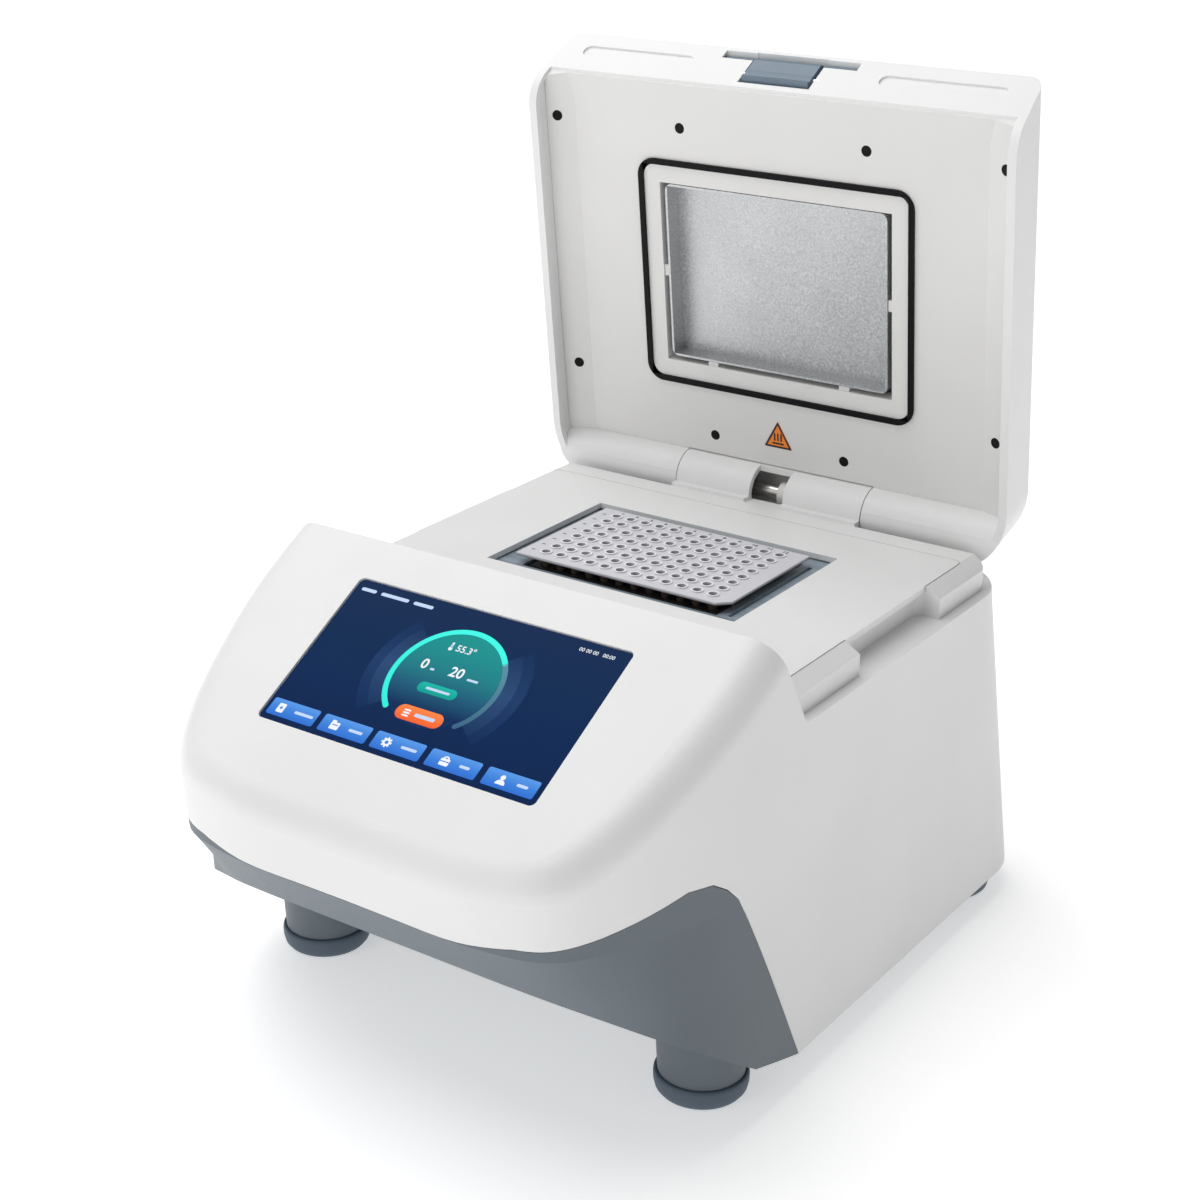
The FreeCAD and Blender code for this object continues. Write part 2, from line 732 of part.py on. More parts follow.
def make_fan_rotor():
    """Rotor cup with seven pitched blades and the shaft that runs in the stator."""
    hub = Part.makeCylinder(16.5, 16.0, V(0, 6.0, 0), V(0, 1, 0))
    hub = hub.cut(Part.makeCylinder(14.8, 14.0, V(0, 5.0, 0), V(0, 1, 0)))
    shaft = Part.makeCylinder(1.5, 21.0, V(0, 0.0, 0), V(0, 1, 0))
    blades = []
    for index in range(7):
        blade = Part.makeBox(24.5, 1.4, 20.0, V(16.0, 13.3, -10.0))
        blade.rotate(V(0, 14.0, 0), V(1, 0, 0), 38.0)
        blade.rotate(V(), V(0, 1, 0), 360.0 / 7 * index)
        blades.append(blade)
    sweep = Part.makeCylinder(size("fan_size") / 2 - 4.0, 16.5, V(0, 5.6, 0), V(0, 1, 0))
    core = Part.makeCylinder(15.5, 22.0, V(0, 2.0, 0), V(0, 1, 0))
    bladed = Part.makeCompound(blades).common(sweep).cut(core)
    rotor = hub.fuse(shaft).fuse(bladed)
    piece = feature_from("FanRotor", rotor.removeSplitter())
    piece.Placement.Base = V(0, size("block_y") + 97.0, size("fan_level"))
    return keep(piece, "fan_rotor")


def make_grille():
    """Rear grille plate of concentric bars, screwed over the fan opening."""
    plate = Part.makeCylinder(41.7, 2.0, V(0, 0, 0), V(0, 1, 0))
    gaps = []
    for radius in (12.0, 18.0, 24.0, 30.0, 36.0):
        gap = Part.makeCylinder(radius + 3.8, 4.0, V(0, -1, 0), V(0, 1, 0))
        gaps.append(gap.cut(Part.makeCylinder(radius, 4.0, V(0, -1, 0), V(0, 1, 0))))
    ribs = [Part.makeBox(84.0, 6.0, 3.0, V(-42.0, -2.0, -1.5)) for _ in range(3)]
    for index, rib in enumerate(ribs):
        rib.rotate(V(), V(0, 1, 0), 60.0 * index)
    plate = plate.cut(Part.makeCompound(gaps).cut(Part.makeCompound(ribs).fuse(ribs[0])))
    piece = feature_from("RearGrille", plate)
    lean = math.degrees(math.atan(size("rear_lean")))
    rear = size("block_y") + size("rear_floor") - size("rear_lean") * size("fan_level")
    tilt = FreeCAD.Rotation(V(1, 0, 0), lean)
    piece.Placement = FreeCAD.Placement(V(0, rear - 2.6, size("fan_level")), tilt)
    return keep(piece, "rear_grille")


def make_inlet():
    """Three-pin appliance inlet set in the rear wall."""
    body = box("InletBody", "-98.0", "block_y + 124.0", "34.4", "27.2", "34.0", "19.2")
    socket = box("InletSocket", "-98.0", "block_y + 133.0", "36.4", "23.2", "18.0", "15.2")
    hollow = cut("InletHollow", body, [socket])
    pins = []
    for index, (x, z) in enumerate((("-105.0", "40.0"), ("-98.0", "42.0"), ("-91.0", "40.0"))):
        pins.append(box(f"InletPin{index}", x, "block_y + 130.0", z, "2.0", "13.0", "6.0"))
    return keep(join("PowerInlet", [hollow] + pins), "power_inlet")


def make_rocker():
    """Rocker of the mains switch; its pivot runs along X."""
    body = new_body("PowerRocker")
    sketch = sketch_on(body, "RockerSection", "YZ_Plane")
    polygon(sketch, [("-3.0", "-4.9"), ("2.6", "-4.9"), ("1.4", "0"), ("2.6", "4.9"), ("-3.0", "4.9"),
                     ("-6.0", "0")])
    pad(body, sketch, "15.0", "RockerPad", both_ways=True)
    place(body, "-98.0", "block_y + 131.6", "70.5")
    return keep(body, "power_rocker")


def make_rocker_frame():
    outer = box("RockerBezel", "-98.0", "block_y + 127.0", "64.3", "18.4", "16.0", "12.4")
    window = box("RockerWindow", "-98.0", "block_y + 129.0", "64.7", "15.8", "14.0", "11.6")
    return keep(cut("RockerFrame", outer, [window]), "switch_frame")


def make_port():
    shell = box("PortShell", "86.0", "block_y + 130.0", "44.3", "15.4", "16.0", "7.4")
    mouth = box("PortMouth", "86.0", "block_y + 134.0", "44.9", "14.2", "10.0", "6.2")
    tongue = box("PortTongue", "86.0", "block_y + 131.5", "48.0", "12.0", "11.0", "2.0")
    return keep(join("DataPort", [cut("PortHollow", shell, [mouth]), tongue]), "data_port")


def make_supply():
    case = box("SupplyCase", "-92.0", "block_y - 8.0", "20.0", "80.0", "150.0", "40.0")
    vent = box("SupplyVent", "-92.0", "block_y - 8.0", "21.2", "77.6", "160.0", "37.6")
    board = box("SupplyBoard", "-92.0", "block_y - 8.0", "26.0", "77.0", "146.0", "1.6")
    coil = box("SupplyCoil", "-80.0", "block_y + 14.0", "27.6", "30.0", "34.0", "24.0")
    cans = []
    for index in range(3):
        y = f"block_y - 50.0 + 26 * {index}"
        cans.append(rod(f"SupplyCan{index}", "-112.0", y, "27.6", "8.0", "26.0"))
    walls = cut("SupplyShell", case, [vent])
    return keep(group("PowerSupply", [walls, join("SupplyInside", [board, coil] + cans)]), "power_supply")


def make_board():
    board = box("BoardSheet", "84.0", "block_y - 12.0", "30.0", "92.0", "150.0", "1.6")
    chip = box("BoardChip", "84.0", "block_y - 40.0", "31.6", "24.0", "24.0", "2.4")
    cooler = box("BoardCooler", "84.0", "block_y + 6.0", "31.6", "40.0", "28.0", "14.0")
    edge = box("BoardSocket", "84.0", "block_y + 54.0", "31.6", "60.0", "9.0", "9.0")
    posts = []
    for x in ("44.0", "124.0"):
        for y, foot in (("block_y - 80.0", "19.7"), ("block_y + 56.0", "18.1")):
            posts.append(rod(f"BoardPost{len(posts)}", x, y, foot, "3.0", f"30.0 - {foot}"))
    return keep(join("MainBoard", [board, chip, cooler, edge] + posts), "main_board")


# ---------------------------------------------------------------- screen

def screen_slab(name, label, length, width, skin, sunk, corner):
    """A plate parallel to the screen slope, its top face `sunk` below the surface."""
    body = slab(name, "0", "0", f"-({skin})", length, width, skin, corner)
    frame = screen_placement(number(sunk))
    body.Placement = frame
    bind(body, "Placement.Base.y", f"block_y + screen_y + ({sunk}) * sin(slope_deg)")
    return keep(body, label)


def make_screen():
    screen_slab("TouchGlass", "touch_glass", "glass_length", "glass_width", "glass_skin", "glass_sunk", "2.5")
    screen_slab("DisplayPanel", "display_panel", "lcd_length", "lcd_width", "lcd_skin", "skin + 1.4", "1.5")
    body = ring("DisplaySeal", "0", "0", "-1.4", "lcd_length", "lcd_width", "1.4", "4.0", "1.5")
    body.Placement = screen_placement(size("skin"))
    keep(body, "display_seal")


# ---------------------------------------------------------------- hinge

def make_barrel():
    """Fixed white barrel between the lid knuckles, on a foot that stands on the ledge."""
    length = "2 * barrel_half"
    shell = rod("BarrelShell", "0", "block_y + hinge_y", "hinge_z", "knuckle_radius", length, "x")
    foot = box("BarrelFoot", "0", "block_y + (island_rear + hinge_y) / 2 + 1.0", "ledge_level",
               length, "hinge_y - island_rear + 2.0", "hinge_z - ledge_level")
    bore = rod("BarrelBore", "0", "block_y + hinge_y", "hinge_z", "knuckle_radius - 3.0",
               "2 * barrel_half + 4", "x")
    window = box("BarrelWindow", "0", "block_y + hinge_y - 12.0", "hinge_z - 2.0", "21.0", "18.0", "20.0")
    return keep(cut("HingeBarrel", join("BarrelSolid", [shell, foot]), [bore, window]), "hinge_barrel")


def make_shaft():
    piece = rod("HingeShaft", "0", "block_y + hinge_y", "hinge_z", "shaft_radius", "2 * shaft_half", "x")
    return keep(join("HingeShaftSolid", [piece, rod("ShaftFlat", "0", "block_y + hinge_y", "hinge_z",
                "shaft_radius - 0.5", "2 * shaft_half + 2", "x")]), "hinge_shaft")


def make_brackets():
    """Two steel cheeks inside the barrel that carry the shaft."""
    for side, letter in ((-1, "left"), (1, "right")):
        cheek = rod("Cheek" + letter.title(), f"{side} * 46.0", "block_y + hinge_y", "hinge_z",
                    "knuckle_radius - 3.05", "6.0", "x")
        bore = rod("CheekBore" + letter.title(), f"{side} * 46.0", "block_y + hinge_y", "hinge_z",
                   "shaft_radius + 0.05", "8.0", "x")
        keep(cut("Bracket" + letter.title(), cheek, [bore]), "hinge_bracket_" + letter)


def make_springs():
    """Close-wound torsion springs round the shaft that balance the lid."""
    for side, letter in ((-1, "left"), (1, "right")):
        wire = 1.0
        radius = size("shaft_radius") + 2.6
        helix = Part.makeHelix(2.3, 23.0, radius)
        start = Part.Wire(Part.Circle(V(radius, 0, 0), V(0, 1, 0), wire).toShape())
        coil = Part.Wire(helix.Edges).makePipeShell([start], True, True)
        piece = feature_from("HingeSpring" + letter.title(), coil)
        low = -41.0 if side < 0 else 16.0
        piece.Placement = FreeCAD.Placement(V(low, size("block_y") + size("hinge_y"), size("hinge_z")),
                                            FreeCAD.Rotation(V(0, 1, 0), 90))
        keep(piece, "hinge_spring_" + letter)


def make_link():
    """White collar on the shaft, seen in the small window of the barrel."""
    collar = rod("LinkCollar", "6.0", "0", "0", "6.4", "8.0", "x")
    tab = box("LinkTab", "6.0", "0", "2.0", "8.0", "8.0", "7.6")
    bore = rod("LinkBore", "6.0", "0", "0", "shaft_radius", "12.0", "x")
    return keep(place_on_lid(cut("HingeLink", join("LinkSolid", [collar, tab]), [bore])), "hinge_link")


def make_strike():
    """Steel bar behind the slot in the slope, which the latch hook catches."""
    bar = rod("StrikeBar", "0", "block_y - 121.0", "202.0", "2.0", "60.0", "x")
    tabs = []
    for x in ("-28.0", "28.0"):
        tabs.append(box("StrikeTab" + x[:2], x, "block_y - 121.6", "198.0", "4.0", "7.2", "10.0"))
    return keep(join("LatchStrike", [bar] + tabs), "latch_strike")


def make_housing_screws():
    """Pan-head screws under the floor plate."""
    screws = []
    for x in ("-100.0", "100.0"):
        for y in ("-70.0", "0", "60.0"):
            label = f"{len(screws)}"
            head = rod("ScrewHead" + label, x, f"block_y + {y}", "floor_under - 1.6", "3.6", "1.6")
            drive = rod("ScrewDrive" + label, x, f"block_y + {y}", "floor_under - 2.0", "1.4", "1.4")
            screws.append(cut("Screw" + label, head, [drive]))
    return keep(group("HousingScrews", screws), "housing_screws")


# ---------------------------------------------------------------- lid, drawn closed round the hinge axis

def lid_plan(level, inset):
    """Lid outline at one height: straight front, round rear corners, sides leaning in."""
    share = (level - size("skirt_drop")) / (size("lid_top") - size("skirt_drop"))
    half = size("lid_half_low") + share * (size("lid_half_top") - size("lid_half_low")) - inset
    front = size("lid_front_top") - 8.0 + inset
    rear = size("lid_rear") - inset
    big = 37.0 - inset
    short = big * (1 - math.sqrt(0.5))
    bend = Part.Arc(V(half - big, rear, level), V(half - short, rear - short, level),
                    V(half, rear - big, level))
    side = Part.LineSegment(V(half, rear - big, level), V(half, front, level))
    right = [bend.toShape(), side.toShape()]
    left = [edge.mirror(V(), V(1, 0, 0)) for edge in right]
    ends = [Part.LineSegment(V(-half, front, level), V(half, front, level)).toShape(),
            Part.LineSegment(V(big - half, rear, level), V(half - big, rear, level)).toShape()]
    return Part.Wire(Part.__sortEdges__(right + left + ends))


def lid_side(inset):
    """Side view of the lid as a wire: sloped front, skirt step, round knuckle line at the rear."""
    drop = size("skirt_drop") + inset
    radius = size("knuckle_radius") - inset
    front_low = V(0, size("lid_front_low") + inset, -1.0 + inset)
    front_top = V(0, size("lid_front_top") + inset, size("lid_top") - inset)
    top = size("lid_top") - inset
    rear = size("lid_rear") - inset
    step = V(0, size("lid_front_low") + 17.0, drop)
    middle = V(0, size("lid_front_low") + 6.5, -9.5 + inset)
    start = V(0, -6.0, drop)
    knee = V(0, radius * 0.72, -radius * 0.70)
    rise = V(0, rear, 1.0)
    edges = [
        Part.LineSegment(front_top, front_low).toShape(),
        Part.Arc(front_low, middle, step).toShape(),
        Part.LineSegment(step, start).toShape(),
        Part.Arc(start, knee, rise).toShape(),
        Part.LineSegment(rise, V(0, rear, top)).toShape(),
        Part.LineSegment(V(0, rear, top), front_top).toShape(),
    ]
    return Part.Wire(Part.__sortEdges__(edges))


def lid_form(inset):
    low, high = size("skirt_drop") - 4.0, size("lid_top") + 4.0
    plan = Part.makeLoft([lid_plan(low, inset), lid_plan(high, inset)], True, True)
    side = Part.Face(lid_side(inset)).extrude(V(400, 0, 0))
    side.translate(V(-200, 0, 0))
    form = plan.common(side).Solids[0]
    top = size("lid_top") - inset
    rim = [edge for edge in form.Edges
           if abs(edge.BoundBox.ZMin - top) < 0.01 and abs(edge.BoundBox.ZMax - top) < 0.01
           and edge.BoundBox.YMax > size("lid_front_top") + 1.0 + inset]
    return form.makeFillet(size("lid_round") - inset, rim)


def tool_box(x0, x1, y0, y1, z0, z1):
    return Part.makeBox(x1 - x0, y1 - y0, z1 - z0, V(x0, y0, z0))


def barrel_room(clear):
    """The space kept free for the fixed barrel and its foot."""
    half = size("barrel_half") + 0.6
    radius = size("knuckle_radius") + clear
    room = Part.makeCylinder(radius, 2 * half, V(-half, 0, 0), V(1, 0, 0))
    room = room.fuse(tool_box(-half, half, -radius, 40.0, -40.0, 0.0))
    return room.fuse(tool_box(-half, half, 0.0, 40.0, -40.0, radius))


def latch_well():
    """Recess in the front of the lid for the latch plate."""
    half, rear = size("hook_half") + 1.5, size("lever_pin_y") + 5.5
    return tool_box(-half, half, -240.0, rear, size("lever_pin_z") - 7.5, 25.0)


def latch_carrier():
    """Cheeks, back and floor round the latch well."""
    half, rear, low = size("hook_half") + 1.5, size("lever_pin_y") + 5.5, size("lever_pin_z") - 7.5
    block = tool_box(-half - 3.5, half + 3.5, rear - 18.0, rear + 2.0, low - 2.0, 25.0)
    return block.cut(latch_well())


def latch_bores():
    """The slot for the press bar and the bore for the latch pin."""
    half, reach = size("lever_half") + 1.5, size("hook_half") + 4.5
    pin_y, pin_z = size("lever_pin_y"), size("lever_pin_z")
    slot = tool_box(-half, half, -240.0, pin_y + 1.5, pin_z + 8.3, pin_z + 13.6)
    return slot.fuse(Part.makeCylinder(1.5, 2 * reach, V(-reach, pin_y, pin_z), V(1, 0, 0)))


def lid_shell_form():
    """Outer shell of the lid with two knuckles, the latch well and two finger grooves."""
    outer = lid_form(0.0)
    inner = lid_form(3.0)
    mouth = tool_box(-200, 200, -260, 40, -40, size("liner_level"))
    mouth = mouth.common(inner.fuse(lowered(inner, 14.0)))
    shell = outer.cut(inner).cut(mouth)
    radius = size("knuckle_radius")
    for side in (-1, 1):
        start = side * size("knuckle_inner")
        length = size("knuckle_outer") - size("knuckle_inner")
        knuckle = Part.makeCylinder(radius, length, V(start, 0, 0), V(side, 0, 0))
        shell = shell.fuse(knuckle.common(outer))
        depth = size("shaft_half") + 2.0 - size("knuckle_inner")
        bore = Part.makeCylinder(size("shaft_radius"), depth, V(start - side, 0, 0), V(side, 0, 0))
        shell = shell.cut(bore)
    shell = shell.cut(barrel_room(0.6))
    shell = shell.cut(latch_well()).fuse(latch_carrier().common(outer))
    shell = shell.cut(latch_bores())
    for side in (-1, 1):
        groove = tool_box(-34.0, 34.0, -4.0, 4.0, -1.2, 1.2)
        groove = groove.makeFillet(3.9, [e for e in groove.Edges if upright(e)])
        tilt = FreeCAD.Rotation(V(1, 0, 0), 114.2)
        groove.Placement = FreeCAD.Placement(V(side * 88.0, -226.8, 14.6), tilt)
        shell = shell.cut(groove)
    return shell


def make_lid_shell(form):
    """White moulded shell of the lid."""
    return keep(place_on_lid(feature_from("LidShell", form)), "lid_shell")


PLUGS = [(130.0, -79.4), (54.4, -79.5), (127.5, 61.0), (39.9, 89.5)]


def plug_shapes(radius):
    """Discs for the eight screw wells, each square to the liner surface where it sits."""
    slope = size("dish_drop") / (size("dish_rim_half") - size("dish_flat_half"))
    discs = []
    for x, y in PLUGS:
        beyond = max(0.0, x - size("dish_flat_half"))
        lean = slope if beyond else 0.0
        for side in (-1, 1):
            foot = V(side * x, y - size("hinge_y"), size("liner_level") - slope * beyond)
            discs.append(Part.makeCylinder(radius, size("plug_depth"), foot, V(side * lean, 0, 1)))
    return Part.makeCompound(discs)


def dish_tool():
    """The shallow dish under the liner: flat in the middle, with slopes up to the side rims."""
    def frame(half, front, level):
        corners = [V(-half, front, level), V(half, front, level), V(half, 30.0, level), V(-half, 30.0, level)]
        return Part.makePolygon(corners + corners[:1])
    level = size("liner_level")
    low = level - 2 * size("dish_drop")
    wide = 2 * size("dish_rim_half") - size("dish_flat_half")
    front = size("lid_front_low") + 14.5
    outlines = [frame(wide, front - 114.0, low), frame(size("dish_flat_half"), front, level)]
    return Part.makeLoft(outlines, True, True)


def make_lid_liner(shell_form):
    """White inner panel with the window for the heated tray and eight screw wells."""
    level, skin = size("liner_level"), size("liner_skin")
    form = lid_form(3.15).fuse(lowered(lid_form(3.15), 6.0)).common(lid_form(0.0))
    panel = form.common(tool_box(-200, 200, -260, 40, level - size("dish_drop"), level + skin))
    panel = panel.cut(dish_tool()).cut(shell_form)
    reach = size("knuckle_outer")
    knuckles = Part.makeCylinder(size("knuckle_radius"), 2 * reach, V(-reach, 0, 0), V(1, 0, 0))
    panel = panel.cut(barrel_room(0.6)).cut(knuckles)
    centre = size("tray_y") + 1.0
    half_x, half_y = size("gasket_length") / 2, size("gasket_width") / 2
    window = tool_box(-half_x, half_x, centre - half_y, centre + half_y, level - 1, level + skin + 1)
    window = window.makeFillet(10.0, [e for e in window.Edges if upright(e)])
    panel = panel.cut(window)
    panel = panel.cut(plug_shapes(size("plug_radius")))
    return keep(place_on_lid(feature_from("LidLiner", panel.removeSplitter())), "lid_liner")


def make_plugs():
    """Eight black caps over the screws that hold the liner."""
    caps = plug_shapes(size("plug_radius") - 0.05)
    return keep(place_on_lid(feature_from("ScrewPlugs", caps)), "screw_plugs")


def make_gasket():
    body = ring("LidGasket", "0", "tray_y + 1.0", "liner_level - 1.4", "gasket_length - 0.1",
                "gasket_width - 0.1", "liner_skin + 1.4", "gasket_wide", "9.9")
    return keep(place_on_lid(body), "lid_gasket")


def make_window_frame():
    """White frame inside the gasket, with six clips that point at the tray."""
    frame = ring("FrameRing", "0", "tray_y + 1.0", "liner_level", "gasket_length - 2 * gasket_wide - 0.2",
                 "gasket_width - 2 * gasket_wide - 0.2", "9.0", "9.6", "7.0")
    clips = []
    near, far = "tray_y - tray_width / 2 - 0.7", "tray_y + tray_width / 2 + 1.7"
    for x in ("-40.0", "40.0"):
        clips.append(box(f"ClipNear{x}", x, near, "liner_level + 1.0", "6.0", "0.7", "7.0"))
        clips.append(box(f"ClipFar{x}", x, far, "liner_level + 1.0", "6.0", "2.7", "7.0"))
    for side in (-1, 1):
        x = f"{side} * (tray_length / 2 + 1.8)"
        clips.append(box(f"ClipSide{side + 1}", x, "tray_y", "liner_level + 1.0", "3.0", "6.0", "7.0"))
    return keep(place_on_lid(join("WindowFrame", [frame] + clips)), "window_frame")


def make_heated_plate():
    """Deep aluminium tray that covers the tube caps; it floats on four guide pins."""
    body = slab("HeatedPlate", "0", "tray_y", "0.8", "tray_length", "tray_width", "tray_depth", "4.0")
    hollow = sketch_on(body, "TrayHollow", lift="0.8")
    rectangle(hollow, "0", "tray_y", "tray_length - 2 * tray_skin", "tray_width - 2 * tray_skin")
    pocket(body, hollow, "tray_depth - 2.0", "TrayHollowCut", reverse=True)
    return keep(place_on_lid(body), "heated_plate")


def make_heater():
    body = slab("LidHeater", "0", "tray_y", "0.8 + tray_depth", "118.0", "84.0", "1.5", "3.0")
    return keep(place_on_lid(body), "lid_heater")


GUIDES = [(-50.0, -34.0), (50.0, -34.0), (-50.0, 34.0), (50.0, 34.0)]


def make_insulation():
    """Foam block on the heater with four holes for the guide pins."""
    block = box("FoamBlock", "0", "tray_y", "2.3 + tray_depth", "124.0", "88.0", "3.2")
    holes = []
    for index, (x, y) in enumerate(GUIDES):
        holes.append(rod(f"FoamHole{index}", f"{x}", f"tray_y + {y}", "0", "3.4", "40.0"))
    return keep(place_on_lid(cut("LidInsulation", block, holes)), "lid_insulation")


def make_guides():
    """Four shouldered pins that hang from the shell and guide the floating tray."""
    pins = []
    for index, (x, y) in enumerate(GUIDES):
        pins.append(rod(f"GuidePin{index}", f"{x}", f"tray_y + {y}", "tray_depth + 6.8", "2.5",
                        "lid_top - 3.0 - tray_depth - 6.8"))
    return keep(place_on_lid(group("GuidePins", pins)), "guide_pins")


def make_label():
    """Generic hot-surface triangle on the liner."""
    body = new_body("HotLabel")
    sketch = sketch_on(body, "LabelOutline", lift="liner_level - 0.2")
    polygon(sketch, [("0", "74.0 - hinge_y"), ("-8.6", "89.4 - hinge_y"), ("8.6", "89.4 - hinge_y")])
    pad(body, sketch, "0.2", "LabelPad")
    return keep(place_on_lid(body), "hot_label")


LATCH_PROFILE = [(-1.4, -5.6), (-1.4, -4.6), (-0.7, -4.3), (-6.0, 7.4), (-6.2, 9.2), (-5.2, 10.9),
                 (-3.0, 12.0), (-0.6, 12.0), (-0.6, 10.0), (-3.3, 8.0), (2.4, -5.6)]


def make_latch():
    """Gray-blue latch: a plate bent over at the top into a wide press bar, on a hub round its pin."""
    body = new_body("LeverPlate")
    sketch = sketch_on(body, "LeverSide", "YZ_Plane")
    polygon(sketch, [(f"lever_pin_y + ({y})", f"lever_pin_z + ({z})") for y, z in LATCH_PROFILE])
    pad(body, sketch, "2 * hook_half", "LeverPad", both_ways=True)
    hub = rod("LeverHub", "0", "lever_pin_y", "lever_pin_z", "2.6", "2 * hook_half", "x")
    bar = box("LeverBar", "0", "lever_pin_y - 3.0", "lever_pin_z + 10.0", "2 * lever_half", "4.0", "3.2")
    bore = rod("LeverBore", "0", "lever_pin_y", "lever_pin_z", "1.55", "2 * lever_half", "x")
    keep(place_on_lid(cut("LatchLever", join("LeverSolid", [body, hub, bar]), [bore])), "latch_lever")
    pin = rod("LatchPinRod", "0", "lever_pin_y", "lever_pin_z", "1.5", "2 * hook_half + 9.0", "x")
    keep(place_on_lid(group("LatchPin", [pin])), "latch_pin")


def check_and_write():
    doc.recompute()
    for item in doc.Objects:
        if "Invalid" in item.State or "Error" in item.State:
            raise RuntimeError(f"{item.Name} failed: {item.State}")
    total = FreeCAD.BoundBox()
    os.makedirs("parts", exist_ok=True)
    for piece in sub_parts:
        shape = piece.Shape
        if shape.isNull() or not shape.isValid() or shape.Volume <= 0:
            raise RuntimeError(f"{piece.Label} has no valid solid")
        total.add(shape.BoundBox)
        shape.exportStep(f"parts/{piece.Label}.step")
        print(f"{piece.Label:22s} solids {len(shape.Solids):3d}  volume {shape.Volume:12.1f}")
    print("overall", [round(value, 3) for value in (total.XMin, total.XMax, total.YMin, total.YMax,
                                                   total.ZMin, total.ZMax)])


write_sheet()
cabinet_outer = cabinet_form(0.0)
cabinet_inner = cabinet_form(size("skin"))
make_housing(cabinet_outer, cabinet_inner)
make_base(cabinet_outer, cabinet_inner)
make_feet()
make_deck()
make_surround()
make_block()
make_plate()
make_peltiers()
make_heat_sink()
make_fan_frame()
make_fan_rotor()
make_grille()
make_inlet()
make_rocker_frame()
make_rocker()
make_port()
make_supply()
make_board()
make_screen()
make_barrel()
make_shaft()
make_brackets()
make_springs()
make_link()
make_strike()
make_housing_screws()
shell_form = lid_shell_form()
make_lid_shell(shell_form)
make_lid_liner(shell_form)
make_plugs()
make_gasket()
make_window_frame()
make_heated_plate()
make_heater()
make_insulation()
make_guides()
make_label()
make_latch()
check_and_write()
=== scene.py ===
import bpy
import bmesh
import math
from mathutils import Matrix, Vector


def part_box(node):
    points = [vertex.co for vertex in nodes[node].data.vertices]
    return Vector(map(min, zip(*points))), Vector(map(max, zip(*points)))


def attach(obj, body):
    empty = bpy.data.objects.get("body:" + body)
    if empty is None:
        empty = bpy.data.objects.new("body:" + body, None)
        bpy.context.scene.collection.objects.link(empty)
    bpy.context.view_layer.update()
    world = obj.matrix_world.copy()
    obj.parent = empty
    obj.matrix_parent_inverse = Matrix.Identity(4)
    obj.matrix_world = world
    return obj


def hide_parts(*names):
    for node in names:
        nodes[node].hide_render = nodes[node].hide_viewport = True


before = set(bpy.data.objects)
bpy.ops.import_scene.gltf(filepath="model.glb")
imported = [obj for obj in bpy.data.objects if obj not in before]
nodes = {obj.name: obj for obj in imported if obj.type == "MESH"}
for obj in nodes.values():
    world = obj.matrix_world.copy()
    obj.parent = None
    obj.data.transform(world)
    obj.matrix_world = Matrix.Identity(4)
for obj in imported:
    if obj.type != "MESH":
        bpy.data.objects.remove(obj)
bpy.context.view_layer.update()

# ------------------------------------------------------------------ studio
# A pale seamless floor under plain soft light: a broad panel above the left side and a weaker one
# in front, so that the right side of the white housing keeps a soft shade. The floor glows a
# little, more so further out, so that it fades to white round the object.
VIEWPOINT = Vector((0.5543, -0.8023, 0.5853))
AIM = Vector((0.00995, -0.01602, 0.195))
LENS_MM = 65.08
ROLL = math.radians(0.15)

camera_data = bpy.data.cameras.new("camera")
camera_data.lens = LENS_MM
camera_data.sensor_width = 36.0
camera_data.clip_end = 20.0
camera = bpy.data.objects.new("camera", camera_data)
bpy.context.collection.objects.link(camera)
facing = (AIM - VIEWPOINT).to_track_quat("-Z", "Y").to_matrix().to_4x4()
camera.matrix_world = Matrix.Translation(VIEWPOINT) @ facing @ Matrix.Rotation(ROLL, 4, "Z")
bpy.context.scene.camera = camera
bpy.context.scene.view_settings.view_transform = "Standard"


def soft_light(name, place, aim, width, height, watts):
    """A rectangular soft box at `place` that faces `aim`."""
    data = bpy.data.lights.new(name, "AREA")
    data.shape = "RECTANGLE"
    data.size = width
    data.size_y = height
    data.energy = watts
    lamp = bpy.data.objects.new(name, data)
    bpy.context.collection.objects.link(lamp)
    turn = (Vector(aim) - Vector(place)).to_track_quat("-Z", "Y").to_matrix().to_4x4()
    lamp.matrix_world = Matrix.Translation(place) @ turn
    return lamp


soft_light("overhead", (-0.7, 0.0, 1.8), (0.0, 0.0, 0.1), 2.0, 2.0, 27.5)
soft_light("front", (-0.5, -2.0, 1.1), (0.0, 0.0, 0.25), 1.4, 1.0, 6.0)

world = bpy.data.worlds.new("world")
world.use_nodes = True
world.node_tree.nodes["Background"].inputs["Color"].default_value = (1.0, 1.0, 1.0, 1.0)
world.node_tree.nodes["Background"].inputs["Strength"].default_value = 0.26
bpy.context.scene.world = world


def new_material(name, colour, roughness, metallic=0.0):
    """A material with a principled shader, and the tools to build on it."""
    material = bpy.data.materials.new(name)
    material.use_nodes = True
    shader = material.node_tree.nodes["Principled BSDF"]
    shader.inputs["Base Color"].default_value = (*colour, 1.0)
    shader.inputs["Roughness"].default_value = roughness
    shader.inputs["Metallic"].default_value = metallic
    return material, material.node_tree.nodes, material.node_tree.links, shader


def mesh_piece(name, bm, material):
    """Turn a bmesh into an object at the origin with one material."""
    bm.normal_update()
    mesh = bpy.data.meshes.new(name)
    bm.to_mesh(mesh)
    bm.free()
    mesh.materials.append(material)
    piece = bpy.data.objects.new(name, mesh)
    bpy.context.collection.objects.link(piece)
    return piece


FLOOR_HALF = 30.0
GLOW_NEAR, GLOW_FAR = 0.46, 0.8
FADE_START, FADE_END = 0.25, 1.2

